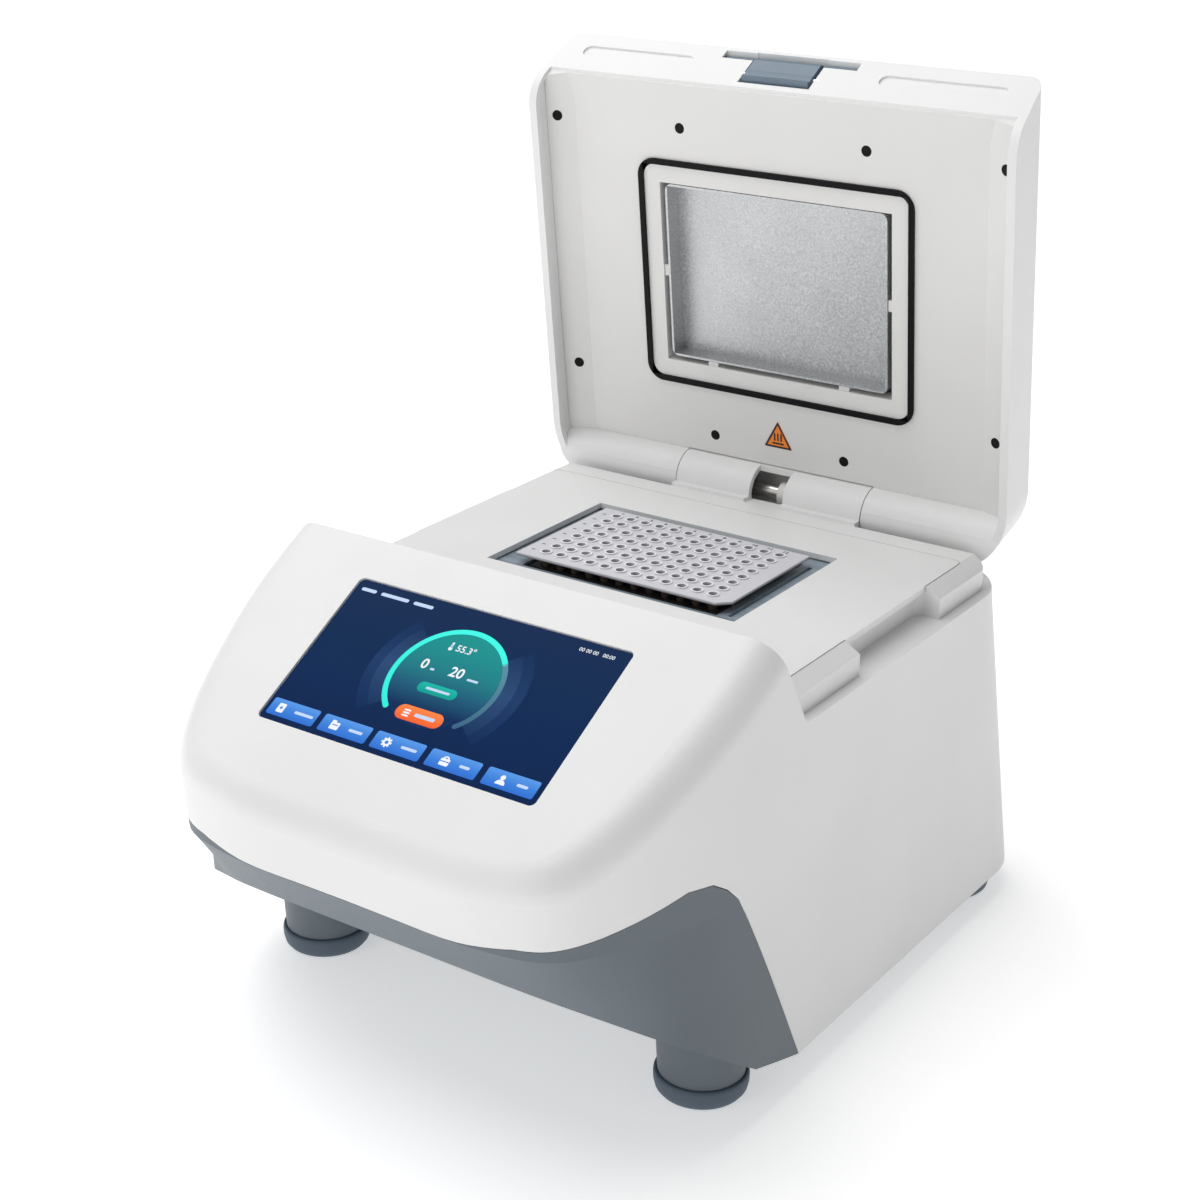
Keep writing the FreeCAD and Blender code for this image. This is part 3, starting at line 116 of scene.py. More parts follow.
floor_material, tree_nodes, links, shader = new_material("studio_floor", (0.95, 0.95, 0.95), 0.9)
shader.inputs["Emission Color"].default_value = (1.0, 1.0, 1.0, 1.0)
place = tree_nodes.new("ShaderNodeTexCoord")
reach = tree_nodes.new("ShaderNodeVectorMath")
reach.operation = "LENGTH"
fade = tree_nodes.new("ShaderNodeMapRange")
fade.inputs["From Min"].default_value = FADE_START
fade.inputs["From Max"].default_value = FADE_END
fade.inputs["To Min"].default_value = GLOW_NEAR
fade.inputs["To Max"].default_value = GLOW_FAR
links.new(place.outputs["Object"], reach.inputs[0])
links.new(reach.outputs["Value"], fade.inputs["Value"])
links.new(fade.outputs["Result"], shader.inputs["Emission Strength"])
bm = bmesh.new()
bmesh.ops.create_grid(bm, x_segments=1, y_segments=1, size=FLOOR_HALF)
floor = mesh_piece("studio_floor", bm, floor_material)


# ------------------------------------------------------------------ upper housing
# Injection-moulded ABS in a warm white: a satin surface with a fine spark-eroded grain, the screen
# slope, the ledge under the lid and the side walls in one piece.
def texture(tree_nodes, links, scale, detail=2.0, stretch=None):
    """Noise on the object's own coordinates, stretched along an axis where stretch is given."""
    place = tree_nodes.new("ShaderNodeTexCoord")
    noise = tree_nodes.new("ShaderNodeTexNoise")
    noise.inputs["Scale"].default_value = scale
    noise.inputs["Detail"].default_value = detail
    if stretch:
        mapping = tree_nodes.new("ShaderNodeMapping")
        mapping.inputs["Scale"].default_value = stretch
        links.new(place.outputs["Object"], mapping.inputs["Vector"])
        links.new(mapping.outputs["Vector"], noise.inputs["Vector"])
    else:
        links.new(place.outputs["Object"], noise.inputs["Vector"])
    return noise


def add_bump(tree_nodes, links, shader, height, strength, distance):
    """Raise the surface by a height pattern."""
    bump = tree_nodes.new("ShaderNodeBump")
    bump.inputs["Strength"].default_value = strength
    bump.inputs["Distance"].default_value = distance
    links.new(height, bump.inputs["Height"])
    links.new(bump.outputs["Normal"], shader.inputs["Normal"])
    return bump


def add_range(tree_nodes, links, source, target, low, high):
    """Drive a socket between two values from a pattern."""
    span = tree_nodes.new("ShaderNodeMapRange")
    span.inputs["From Min"].default_value = 0.3
    span.inputs["From Max"].default_value = 0.7
    span.inputs["To Min"].default_value = low
    span.inputs["To Max"].default_value = high
    links.new(source, span.inputs["Value"])
    links.new(span.outputs["Result"], target)


def add_tones(tree_nodes, links, shader, source, stops):
    """Colour a surface from a pattern by a ramp of (position, colour) stops."""
    ramp = tree_nodes.new("ShaderNodeValToRGB")
    while len(ramp.color_ramp.elements) < len(stops):
        ramp.color_ramp.elements.new(0.5)
    for element, (position, colour) in zip(ramp.color_ramp.elements, stops):
        element.position = position
        element.color = (*colour, 1.0)
    links.new(source, ramp.inputs["Fac"])
    links.new(ramp.outputs["Color"], shader.inputs["Base Color"])
    return ramp


def shade(colour, factor):
    """A colour made lighter or darker by a factor."""
    return tuple(min(1.0, channel * factor) for channel in colour)


def moulded_plastic(name, colour, roughness, grain, depth, mottling=0.015, specular=0.5):
    """Moulded plastic: a fine grain in the surface and a slight unevenness in tone and gloss."""
    material, tree_nodes, links, shader = new_material(name, colour, roughness)
    shader.inputs["Specular IOR Level"].default_value = specular
    fine = texture(tree_nodes, links, grain, 3.0)
    broad = texture(tree_nodes, links, 14.0)
    add_bump(tree_nodes, links, shader, fine.outputs["Fac"], depth, 0.0002)
    add_range(tree_nodes, links, fine.outputs["Fac"], shader.inputs["Roughness"], roughness - 0.06,
              roughness + 0.06)
    add_tones(tree_nodes, links, shader, broad.outputs["Fac"],
              [(0.35, shade(colour, 1.0 - mottling)), (0.65, shade(colour, 1.0 + mottling))])
    return material


def finish_nodes(material, *names):
    """Give CAD nodes their material."""
    for name in names:
        for slot in nodes[name].material_slots:
            slot.material = material


shell_white = moulded_plastic("shell_white", (0.86, 0.862, 0.858), 0.42, 1800.0, 0.35)
finish_nodes(shell_white, "upper_housing", "module_deck", "hinge_barrel", "lid_shell")

# ------------------------------------------------------------------ base tray
# The slate gray-blue apron, side fins and foot posts are one moulding with a slightly coarser
# grain than the white shell above the seam.
base_gray = moulded_plastic("base_gray", (0.136, 0.164, 0.189), 0.5, 1500.0, 0.4, 0.03)
finish_nodes(base_gray, "base_tray")

# ------------------------------------------------------------------ feet
# Four soft rubber caps, turned in section: a rounded tread, a bellied side and a rolled lip that
# stands clear of the post, with a shallow cup for the post to sit in.
foot_rubber = moulded_plastic("foot_rubber", (0.10, 0.135, 0.175), 0.58, 2400.0, 0.6, 0.06)
CAP_STEPS = 72
# Section of a cap from the middle of the tread round to the bottom of the cup, each point as a
# share of the cap's radius and height.
CAP_PROFILE = [(0.0, 0.0), (0.80, 0.0), (0.90, 0.07), (0.965, 0.24), (0.995, 0.5), (1.0, 0.78),
               (0.99, 0.92), (0.955, 1.0), (0.90, 0.97), (0.88, 0.86), (0.0, 0.86)]


def foot_cap(node):
    """A lathe-turned cap over the place of one CAD foot."""
    low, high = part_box(node)
    radius = (high.x - low.x) / 2
    height = high.z - low.z
    bm = bmesh.new()
    rim = [bm.verts.new((across * radius, 0.0, up * height)) for across, up in CAP_PROFILE]
    edges = [bm.edges.new(pair) for pair in zip(rim, rim[1:])]
    bmesh.ops.spin(bm, geom=rim + edges, axis=(0, 0, 1), cent=(0, 0, 0), angle=2 * math.pi,
                   steps=CAP_STEPS, use_merge=True)
    bmesh.ops.remove_doubles(bm, verts=bm.verts, dist=1e-6)
    bmesh.ops.recalc_face_normals(bm, faces=bm.faces)
    for face in bm.faces:
        face.smooth = True
    bmesh.ops.translate(bm, vec=((low.x + high.x) / 2, (low.y + high.y) / 2, low.z), verts=bm.verts)
    cap = mesh_piece(node.replace("foot", "cap"), bm, foot_rubber)
    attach(cap, "cabinet")
    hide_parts(node)
    return cap


for corner in ("front_left", "front_right", "rear_left", "rear_right"):
    foot_cap("foot_" + corner)

# ------------------------------------------------------------------ touch screen
# A flat cover glass bonded over the display, lit from behind: deep navy at the bottom and a little
# paler at the top. The display and its foam seal sit under it in the slope.
SLOPE = math.radians(29.43)
MM = 0.001
glass_low, glass_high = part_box("touch_glass")
GLASS_SKIN = 1.1 * MM
slope_normal = Vector((0.0, -math.sin(SLOPE), math.cos(SLOPE)))
glass_middle = (glass_low + glass_high) / 2 + slope_normal * (GLASS_SKIN / 2)
on_screen = Matrix.Translation(glass_middle) @ Matrix.Rotation(SLOPE, 4, "X")


def ink(code):
    """A linear colour from a six-digit display colour."""
    channels = [int(code[index:index + 2], 16) / 255 for index in (0, 2, 4)]
    return tuple(c / 12.92 if c <= 0.04045 else ((c + 0.055) / 1.055) ** 2.4 for c in channels)


def lit_colour(name, stops, gloss=0.32, glow=1.0):
    """Backlit display colour that runs up the slope through (height in mm, colour code) stops."""
    material, tree_nodes, links, shader = new_material(name, (0.002, 0.004, 0.01), gloss)
    shader.inputs["Specular IOR Level"].default_value = 0.02
    shader.inputs["Emission Strength"].default_value = glow
    if len(stops) == 1:
        shader.inputs["Emission Color"].default_value = (*ink(stops[0][1]), 1.0)
        return material
    low, high = stops[0][0] * MM, stops[-1][0] * MM
    place = tree_nodes.new("ShaderNodeTexCoord")
    split = tree_nodes.new("ShaderNodeSeparateXYZ")
    span = tree_nodes.new("ShaderNodeMapRange")
    span.inputs["From Min"].default_value = glass_middle.z + low * math.sin(SLOPE)
    span.inputs["From Max"].default_value = glass_middle.z + high * math.sin(SLOPE)
    links.new(place.outputs["Object"], split.inputs["Vector"])
    links.new(split.outputs["Z"], span.inputs["Value"])
    ramp = tree_nodes.new("ShaderNodeValToRGB")
    while len(ramp.color_ramp.elements) < len(stops):
        ramp.color_ramp.elements.new(0.5)
    for element, (height, code) in zip(ramp.color_ramp.elements, stops):
        element.position = (height * MM - low) / (high - low)
        element.color = (*ink(code), 1.0)
    links.new(span.outputs["Result"], ramp.inputs["Fac"])
    links.new(ramp.outputs["Color"], shader.inputs["Emission Color"])
    return material


NAVY = [(-43.0, "03214b"), (-10.0, "042651"), (15.0, "092950"), (43.0, "112a4f")]
finish_nodes(lit_colour("display_navy", NAVY), "touch_glass")
display_black = moulded_plastic("display_black", (0.012, 0.013, 0.015), 0.5, 900.0, 0.2, 0.1)
finish_nodes(display_black, "display_panel")
seal_foam = moulded_plastic("seal_foam", (0.02, 0.021, 0.023), 0.9, 700.0, 0.8, 0.1)
finish_nodes(seal_foam, "display_seal")


# ------------------------------------------------------------------ screen dial
# The running dial of the display: a round gauge with a bright arc for the time that has passed, a
# dimmer arc for the rest, two faint halos on each side, and a glowing disc inside.
def pad_shape(bm, u, v, width, height, corner, level, sides=6):
    """A flat panel with rounded corners at (u, v) on the slope."""
    made = bmesh.ops.create_grid(bm, x_segments=1, y_segments=1, size=0.5)["verts"]
    bmesh.ops.scale(bm, vec=(width * MM, height * MM, 1.0), verts=made)
    bmesh.ops.translate(bm, vec=(u * MM, v * MM, level * MM), verts=made)
    if corner:
        bmesh.ops.bevel(bm, geom=made, offset=corner * MM, offset_type="OFFSET", affect="VERTICES",
                        segments=sides, profile=0.5, material=-1)


def dot_shape(bm, u, v, radius, level, sides=24):
    """A flat disc at (u, v) on the slope."""
    made = bmesh.ops.create_circle(bm, cap_ends=True, segments=sides, radius=radius * MM)["verts"]
    bmesh.ops.translate(bm, vec=(u * MM, v * MM, level * MM), verts=made)


def arc_shape(bm, centre, inner, outer, start, finish, level, steps=48):
    """A flat ring sector between two angles in degrees."""
    angle = math.radians(start)
    aim = Vector((math.cos(angle), math.sin(angle), 0.0))
    middle = Vector((centre[0] * MM, centre[1] * MM, level * MM))
    ends = [bm.verts.new(middle + aim * inner * MM), bm.verts.new(middle + aim * outer * MM)]
    spoke = bm.edges.new(ends)
    bmesh.ops.spin(bm, geom=ends + [spoke], cent=middle, axis=(0, 0, 1),
                   angle=math.radians(finish - start), steps=steps)


def bar_shape(bm, start, finish, width, level):
    """A straight stroke between two points of the slope, `width` millimetres wide."""
    run = Vector((finish[0] - start[0], finish[1] - start[1]))
    made = bmesh.ops.create_grid(bm, x_segments=1, y_segments=1, size=0.5)["verts"]
    bmesh.ops.scale(bm, vec=(run.length * MM, width * MM, 1.0), verts=made)
    turn = Matrix.Rotation(math.atan2(run.y, run.x), 3, "Z")
    bmesh.ops.rotate(bm, cent=(0, 0, 0), matrix=turn, verts=made)
    middle = ((start[0] + finish[0]) / 2 * MM, (start[1] + finish[1]) / 2 * MM, level * MM)
    bmesh.ops.translate(bm, vec=middle, verts=made)


def screen_piece(name, bm, material):
    """Face the flat shapes outwards, lay them on the slope and fix them to the cabinet."""
    bm.normal_update()
    turned = [face for face in bm.faces if face.normal.z < 0]
    bmesh.ops.reverse_faces(bm, faces=turned)
    bmesh.ops.transform(bm, matrix=on_screen, verts=bm.verts)
    piece = mesh_piece(name, bm, material)
    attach(piece, "cabinet")
    return piece


DIAL = (-0.8, 2.7)
RING_INNER, RING_OUTER = 26.9, 29.6
RING_START, RING_NOW, RING_END = 226.8, 37.7, -46.4
LEVEL_HALO, LEVEL_DISC, LEVEL_RING, LEVEL_PAD, LEVEL_MARK = 0.03, 0.05, 0.07, 0.09, 0.12

halo_wide = lit_colour("halo_wide", [(-26.0, "052855"), (4.0, "1b3a66"), (30.0, "0d2c56")])
halo_near = lit_colour("halo_near", [(-26.0, "062956"), (4.0, "2b4a75"), (30.0, "102e58")])
HALOS = (("halo_wide", 36.2, 41.8, halo_wide), ("halo_near", 29.6, 36.2, halo_near))
for name, inner, outer, material in HALOS:
    bm = bmesh.new()
    arc_shape(bm, DIAL, inner, outer, -40.0, 40.0, LEVEL_HALO)
    arc_shape(bm, DIAL, inner, outer, 140.0, 220.0, LEVEL_HALO)
    screen_piece(name, bm, material)

bm = bmesh.new()
dot_shape(bm, *DIAL, RING_INNER - 0.1, LEVEL_DISC, 96)
DISC_GLOW = [(-15.0, "092c58"), (-4.0, "1d5a78"), (8.0, "1f7f86"), (20.0, "1c8f8d"), (30.0, "1b9690")]
screen_piece("dial_disc", bm, lit_colour("dial_disc", DISC_GLOW))


def round_end(bm, angle):
    """The round end of the dial's band."""
    reach = (RING_INNER + RING_OUTER) / 2
    u = DIAL[0] + reach * math.cos(math.radians(angle))
    v = DIAL[1] + reach * math.sin(math.radians(angle))
    dot_shape(bm, u, v, (RING_OUTER - RING_INNER) / 2, LEVEL_RING)


bm = bmesh.new()
arc_shape(bm, DIAL, RING_INNER, RING_OUTER, RING_NOW, RING_END, LEVEL_RING)
round_end(bm, RING_END)
screen_piece("dial_rest", bm, lit_colour("dial_rest", [(-20.0, "3a6283"), (20.0, "5b93a3")]))
bm = bmesh.new()
arc_shape(bm, DIAL, RING_INNER, RING_OUTER, RING_START, RING_NOW, LEVEL_RING, 96)
round_end(bm, RING_START)
round_end(bm, RING_NOW)
screen_piece("dial_passed", bm, lit_colour("dial_passed", [(-20.0, "35efdb"), (30.0, "45fbe8")]))

# ------------------------------------------------------------------ screen buttons
# Two pill-shaped status keys under the readings, and a row of five equal keys along the bottom of
# the display, each a little lighter at its upper edge.
KEY_PLACES = (-61.6, -31.2, -0.9, 29.7, 60.4)
KEY_ROW = -35.4
KEY_LENGTH, KEY_WIDTH = 27.3, 9.2

bm = bmesh.new()
for place in KEY_PLACES:
    pad_shape(bm, place, KEY_ROW, KEY_LENGTH, KEY_WIDTH, 1.1, LEVEL_PAD)
KEY_GLOW = [(-40.0, "2f6fd2"), (KEY_ROW, "4083dd"), (-30.8, "5b9bea")]
screen_piece("key_row", bm, lit_colour("key_blue", KEY_GLOW))
bm = bmesh.new()
pad_shape(bm, -1.0, -3.3, 21.5, 5.7, 2.8, LEVEL_PAD, 10)
screen_piece("status_pill", bm, lit_colour("pill_teal", [(-6.2, "0c9c90"), (-0.5, "17b8a8")]))
bm = bmesh.new()
pad_shape(bm, -0.9, -18.2, 25.8, 8.0, 3.9, LEVEL_PAD, 10)
screen_piece("module_pill", bm, lit_colour("pill_orange", [(-22.2, "f9602a"), (-14.2, "ff8844")]))

# ------------------------------------------------------------------ screen marks
# Plain white marks on the keys: a sheet, a folder, a gear, a box and a figure, with a short rule in
# place of each word, and the rules at the top corners of the display.
LEVEL_DETAIL = LEVEL_MARK + 0.005
LEVEL_LINE = LEVEL_MARK + 0.02
icon_white = lit_colour("icon_white", [(0.0, "f4f8ff")])
word_pale = lit_colour("word_pale", [(0.0, "c9dcf8")])

bm = bmesh.new()
# sheet with a folded corner
pad_shape(bm, -68.9, KEY_ROW, 4.0, 5.0, 0.6, LEVEL_MARK)
# folder with its tab
pad_shape(bm, -37.0, KEY_ROW - 0.3, 4.9, 4.0, 0.6, LEVEL_MARK)
pad_shape(bm, -38.3, KEY_ROW + 1.9, 2.3, 1.4, 0.4, LEVEL_DETAIL)
# gear: a ring and eight teeth
GEAR = (-7.2, KEY_ROW)
arc_shape(bm, GEAR, 0.95, 2.0, 0.0, 360.0, LEVEL_MARK, 32)
for tooth in range(8):
    angle = math.radians(45.0 * tooth)
    aim = (math.cos(angle), math.sin(angle))
    bar_shape(bm, (GEAR[0] + 1.8 * aim[0], GEAR[1] + 1.8 * aim[1]),
              (GEAR[0] + 2.7 * aim[0], GEAR[1] + 2.7 * aim[1]), 1.0, LEVEL_DETAIL)
# tool box with its handle
pad_shape(bm, 25.2, KEY_ROW - 0.5, 4.9, 3.7, 0.6, LEVEL_MARK)
arc_shape(bm, (25.2, KEY_ROW + 1.0), 1.0, 1.7, 0.0, 180.0, LEVEL_DETAIL, 16)
# standing figure
dot_shape(bm, 55.8, KEY_ROW + 1.2, 1.25, LEVEL_MARK)
arc_shape(bm, (55.8, KEY_ROW - 2.5), 0.01, 2.5, 0.0, 180.0, LEVEL_MARK, 20)
# stacked plates on the orange pill
for step in range(3):
    pad_shape(bm, -8.0, -19.9 + 1.5 * step, 3.6, 0.9, 0.4, LEVEL_MARK)
# bulb thermometer beside the temperature
pad_shape(bm, -9.0, 21.6, 1.1, 3.4, 0.5, LEVEL_MARK)
dot_shape(bm, -9.0, 19.6, 1.05, LEVEL_DETAIL)
screen_piece("key_icons", bm, icon_white)

bm = bmesh.new()
for place, length in zip(KEY_PLACES, (10.8, 7.8, 8.6, 5.4, 5.8)):
    pad_shape(bm, place + 6.2, KEY_ROW, length, 1.5, 0.7, LEVEL_MARK)
pad_shape(bm, 2.2, -18.2, 11.2, 1.9, 0.9, LEVEL_MARK)
pad_shape(bm, -0.6, -3.3, 13.2, 1.3, 0.6, LEVEL_MARK)
pad_shape(bm, -10.5, 6.6, 2.4, 1.2, 0.55, LEVEL_MARK)
pad_shape(bm, 12.2, 6.6, 6.2, 1.2, 0.55, LEVEL_MARK)
for start, length in ((-75.0, 10.0), (-63.2, 17.6), (-43.8, 12.6)):
    pad_shape(bm, start + length / 2 + 0.6, 37.8, length - 1.2, 1.9, 0.9, LEVEL_MARK)
screen_piece("word_rules", bm, word_pale)

# the inner lines of the sheet, folder, tool box and gear hub, cut in the blue of the key
bm = bmesh.new()
bar_shape(bm, (-69.9, KEY_ROW + 0.1), (-67.9, KEY_ROW + 0.1), 0.55, LEVEL_LINE)
bar_shape(bm, (-68.9, KEY_ROW - 0.9), (-68.9, KEY_ROW + 1.1), 0.55, LEVEL_LINE)
bar_shape(bm, (-38.6, KEY_ROW + 0.2), (-35.4, KEY_ROW + 0.2), 0.5, LEVEL_LINE)
bar_shape(bm, (22.8, KEY_ROW - 0.2), (27.6, KEY_ROW - 0.2), 0.5, LEVEL_LINE)
bar_shape(bm, (-9.0, 20.0), (-9.0, 22.2), 0.4, LEVEL_LINE)
screen_piece("icon_lines", bm, lit_colour("icon_lines", [(0.0, "3a7bd6")]))


# ------------------------------------------------------------------ screen figures
# The readings in plain numerals: the temperature at the top of the dial, hours and minutes across
# its middle, and the running clock at the top right of the display.
def add_numerals(bm, text, height, u, v, level, place=None, bold=0.0):
    """Numerals of a given digit height whose left end is at u and whose foot line is at v."""
    cap_share = 0.7
    curve = bpy.data.curves.new("numerals", "FONT")
    curve.body = text
    curve.size = height * MM / cap_share
    curve.offset = bold * MM
    curve.resolution_u = 3
    source = bpy.data.objects.new("numerals", curve)
    bpy.context.collection.objects.link(source)
    mesh = bpy.data.meshes.new_from_object(source)
    before = len(bm.verts)
    bm.from_mesh(mesh)
    bm.verts.ensure_lookup_table()
    made = bm.verts[before:]
    bmesh.ops.translate(bm, vec=(u * MM, v * MM, level * MM), verts=made)
    if place:
        bmesh.ops.transform(bm, matrix=place, verts=made)
    bpy.data.objects.remove(source)
    bpy.data.curves.remove(curve)
    bpy.data.meshes.remove(mesh)


bm = bmesh.new()
add_numerals(bm, "55.3°", 3.6, -6.2, 19.2, LEVEL_MARK, bold=0.06)
add_numerals(bm, "0", 5.3, -17.6, 5.9, LEVEL_MARK, bold=0.16)
add_numerals(bm, "20", 5.3, -1.4, 5.9, LEVEL_MARK, bold=0.16)
add_numerals(bm, "00 00 00   00:00", 2.0, 50.6, 37.2, LEVEL_MARK, bold=0.02)
screen_piece("figures", bm, icon_white)

# ------------------------------------------------------------------ block surround
# Anodised aluminium frame round the block, sunk below the deck, with fine brushing along its
# length and a groove at the right where a plate adapter is lifted.
surround_blue, tree_nodes, links, shader = new_material("surround_blue", (0.27, 0.33, 0.39), 0.42, 0.15)
brushing = texture(tree_nodes, links, 420.0, 4.0, (0.05, 1.0, 1.0))
add_bump(tree_nodes, links, shader, brushing.outputs["Fac"], 0.25, 0.0001)
add_range(tree_nodes, links, brushing.outputs["Fac"], shader.inputs["Roughness"], 0.30, 0.48)
add_tones(tree_nodes, links, shader, brushing.outputs["Fac"],
          [(0.3, (0.22, 0.275, 0.33)), (0.7, (0.33, 0.39, 0.45))])
finish_nodes(surround_blue, "block_surround")


# ------------------------------------------------------------------ sample block, modules and sink
# The block is machined and bead-blasted aluminium, the modules under it are pale ceramic, and the
# finned sink is a sawn extrusion with drawing marks along the fins.
def worked_metal(name, colour, roughness, scale, stretch, depth, spread=0.12):
    """Bare metal with the marks of its making drawn out along one axis."""
    material, tree_nodes, links, shader = new_material(name, colour, roughness, 1.0)
    marks = texture(tree_nodes, links, scale, 4.0, stretch)
    add_bump(tree_nodes, links, shader, marks.outputs["Fac"], depth, 0.0001)
    add_range(tree_nodes, links, marks.outputs["Fac"], shader.inputs["Roughness"], roughness - 0.08,
              roughness + 0.1)
    add_tones(tree_nodes, links, shader, marks.outputs["Fac"],
              [(0.3, shade(colour, 1.0 - spread)), (0.7, shade(colour, 1.0 + spread))])
    return material


block_metal = worked_metal("block_metal", (0.20, 0.20, 0.21), 0.5, 1500.0, (1.0, 1.0, 1.0), 0.3)
finish_nodes(block_metal, "sample_block")
sink_metal = worked_metal("sink_metal", (0.62, 0.63, 0.64), 0.34, 300.0, (1.0, 0.03, 1.0), 0.3)
finish_nodes(sink_metal, "heat_sink")
ceramic = moulded_plastic("ceramic", (0.82, 0.81, 0.78), 0.6, 900.0, 0.3, 0.03)
finish_nodes(ceramic, "peltier_modules")

# ------------------------------------------------------------------ sample plate
# A thin 96-well plate in frosted polypropylene: a milky deck with a raised rim at every well, and
# tapered tubes with a smoky brown tint, darkened by painted shade where they stand in the dark block.
plate_low, plate_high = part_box("sample_plate")
RIM_RISE = 0.6 * MM
plate_deck = plate_high.z - RIM_RISE
plate_frosted, tree_nodes, links, shader = new_material("plate_frosted", (0.7, 0.7, 0.74), 0.36)
place = tree_nodes.new("ShaderNodeTexCoord")
split = tree_nodes.new("ShaderNodeSeparateXYZ")
span = tree_nodes.new("ShaderNodeMapRange")
span.inputs["From Min"].default_value = plate_deck - 4.0 * MM
span.inputs["From Max"].default_value = plate_high.z
links.new(place.outputs["Object"], split.inputs["Vector"])
links.new(split.outputs["Z"], span.inputs["Value"])
# Colour by height: the dark brown below the deck is painted shade inside the wells and on the tubes,
# over their own smoky tint; the deck is milky, and the palest top stop is a painted highlight on the
# rims.
add_tones(tree_nodes, links, shader, span.outputs["Result"],
          [(0.0, (0.10, 0.075, 0.06)), (0.54, (0.17, 0.14, 0.125)), (0.66, (0.36, 0.35, 0.37)),
           (0.72, (0.66, 0.66, 0.70)), (0.90, (0.70, 0.70, 0.74)), (1.0, (0.88, 0.88, 0.90))])
frosting = texture(tree_nodes, links, 1600.0, 3.0)
add_bump(tree_nodes, links, shader, frosting.outputs["Fac"], 0.2, 0.0001)
finish_nodes(plate_frosted, "sample_plate")

# ------------------------------------------------------------------ plate marks
# Column numbers printed in black behind the far row of wells, and a short printed tick in place of
# each row mark, all laid on the deck of the plate.
PITCH = 9.0
COLUMNS, ROWS = 12, 8
NUMBER_ROW = 36.0
NUMBER_HEIGHT = 2.5
DIGIT_HALF = 0.85
TICK_COLUMN = -57.4
INK_RISE = 0.03
plate_middle = (plate_low + plate_high) / 2
mark_black = moulded_plastic("mark_black", (0.015, 0.015, 0.018), 0.5, 900.0, 0.1, 0.2)
on_plate = Matrix.Translation((plate_middle.x, plate_middle.y, plate_deck))
bm = bmesh.new()
for column in range(COLUMNS):
    text = str(column + 1)
    u = PITCH * (column - (COLUMNS - 1) / 2) - DIGIT_HALF * len(text)
    add_numerals(bm, text, NUMBER_HEIGHT, u, NUMBER_ROW, INK_RISE, on_plate, 0.08)
for row in range(ROWS):
    v = PITCH * (row - (ROWS - 1) / 2)
    made = len(bm.verts)
    pad_shape(bm, TICK_COLUMN, v, 2.2, 0.8, 0.3, INK_RISE, 3)
    bm.verts.ensure_lookup_table()
    bmesh.ops.transform(bm, matrix=on_plate, verts=bm.verts[made:])
bm.normal_update()
bmesh.ops.reverse_faces(bm, faces=[face for face in bm.faces if face.normal.z < 0])
plate_marks = mesh_piece("plate_marks", bm, mark_black)
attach(plate_marks, "cabinet")

# ------------------------------------------------------------------ fan, grille and rear fittings
# The axial fan, its grille and the mains inlet are black glass-filled nylon. The rocker sits in a
# black frame, and the data port is a bright plated shell.
nylon_black = moulded_plastic("nylon_black", (0.018, 0.019, 0.02), 0.48, 900.0, 0.5, 0.12)
finish_nodes(nylon_black, "fan_frame", "fan_rotor", "rear_grille", "power_inlet", "switch_frame")
rocker_black = moulded_plastic("rocker_black", (0.03, 0.031, 0.033), 0.3, 1400.0, 0.15, 0.1)
finish_nodes(rocker_black, "power_rocker")
port_plate = worked_metal("port_plate", (0.72, 0.72, 0.73), 0.28, 500.0, (1.0, 0.1, 1.0), 0.15)
finish_nodes(port_plate, "data_port")

# ------------------------------------------------------------------ supply and main board
# The supply stands in a folded galvanised case. The board is green glass laminate with a faint
# network of tracks under the solder mask.
zinc, tree_nodes, links, shader = new_material("zinc", (0.55, 0.57, 0.58), 0.42, 1.0)
spangle = tree_nodes.new("ShaderNodeTexVoronoi")
spangle.inputs["Scale"].default_value = 120.0
place = tree_nodes.new("ShaderNodeTexCoord")
links.new(place.outputs["Object"], spangle.inputs["Vector"])
add_tones(tree_nodes, links, shader, spangle.outputs["Distance"],
          [(0.0, (0.62, 0.64, 0.65)), (0.8, (0.46, 0.48, 0.50))])
add_range(tree_nodes, links, spangle.outputs["Distance"], shader.inputs["Roughness"], 0.34, 0.5)
finish_nodes(zinc, "power_supply", "hinge_bracket_left", "hinge_bracket_right", "latch_strike")

board_green, tree_nodes, links, shader = new_material("board_green", (0.02, 0.16, 0.06), 0.35)
tracks = tree_nodes.new("ShaderNodeTexBrick")
tracks.inputs["Scale"].default_value = 160.0
tracks.inputs["Mortar Size"].default_value = 0.06
tracks.inputs["Color1"].default_value = (0.015, 0.13, 0.05, 1.0)
tracks.inputs["Color2"].default_value = (0.02, 0.16, 0.06, 1.0)
tracks.inputs["Mortar"].default_value = (0.06, 0.26, 0.10, 1.0)
place = tree_nodes.new("ShaderNodeTexCoord")
links.new(place.outputs["Object"], tracks.inputs["Vector"])
links.new(tracks.outputs["Color"], shader.inputs["Base Color"])
add_bump(tree_nodes, links, shader, tracks.outputs["Fac"], 0.2, 0.0001)
finish_nodes(board_green, "main_board")

# ------------------------------------------------------------------ hinge
# A ground steel shaft runs through the barrel and both knuckles, with a white collar at its middle
# and oiled spring-steel coils that balance the lid.
ground_steel = worked_metal("ground_steel", (0.58, 0.56, 0.53), 0.22, 600.0, (0.04, 1.0, 1.0), 0.2)
finish_nodes(ground_steel, "hinge_shaft")
spring_steel = worked_metal("spring_steel", (0.30, 0.30, 0.31), 0.35, 900.0, (1.0, 1.0, 1.0), 0.3)
finish_nodes(spring_steel, "hinge_spring_left", "hinge_spring_right")
screw_steel = worked_metal("screw_steel", (0.66, 0.66, 0.66), 0.3, 900.0, (1.0, 1.0, 1.0), 0.2)
finish_nodes(screw_steel, "housing_screws", "guide_pins", "latch_pin")

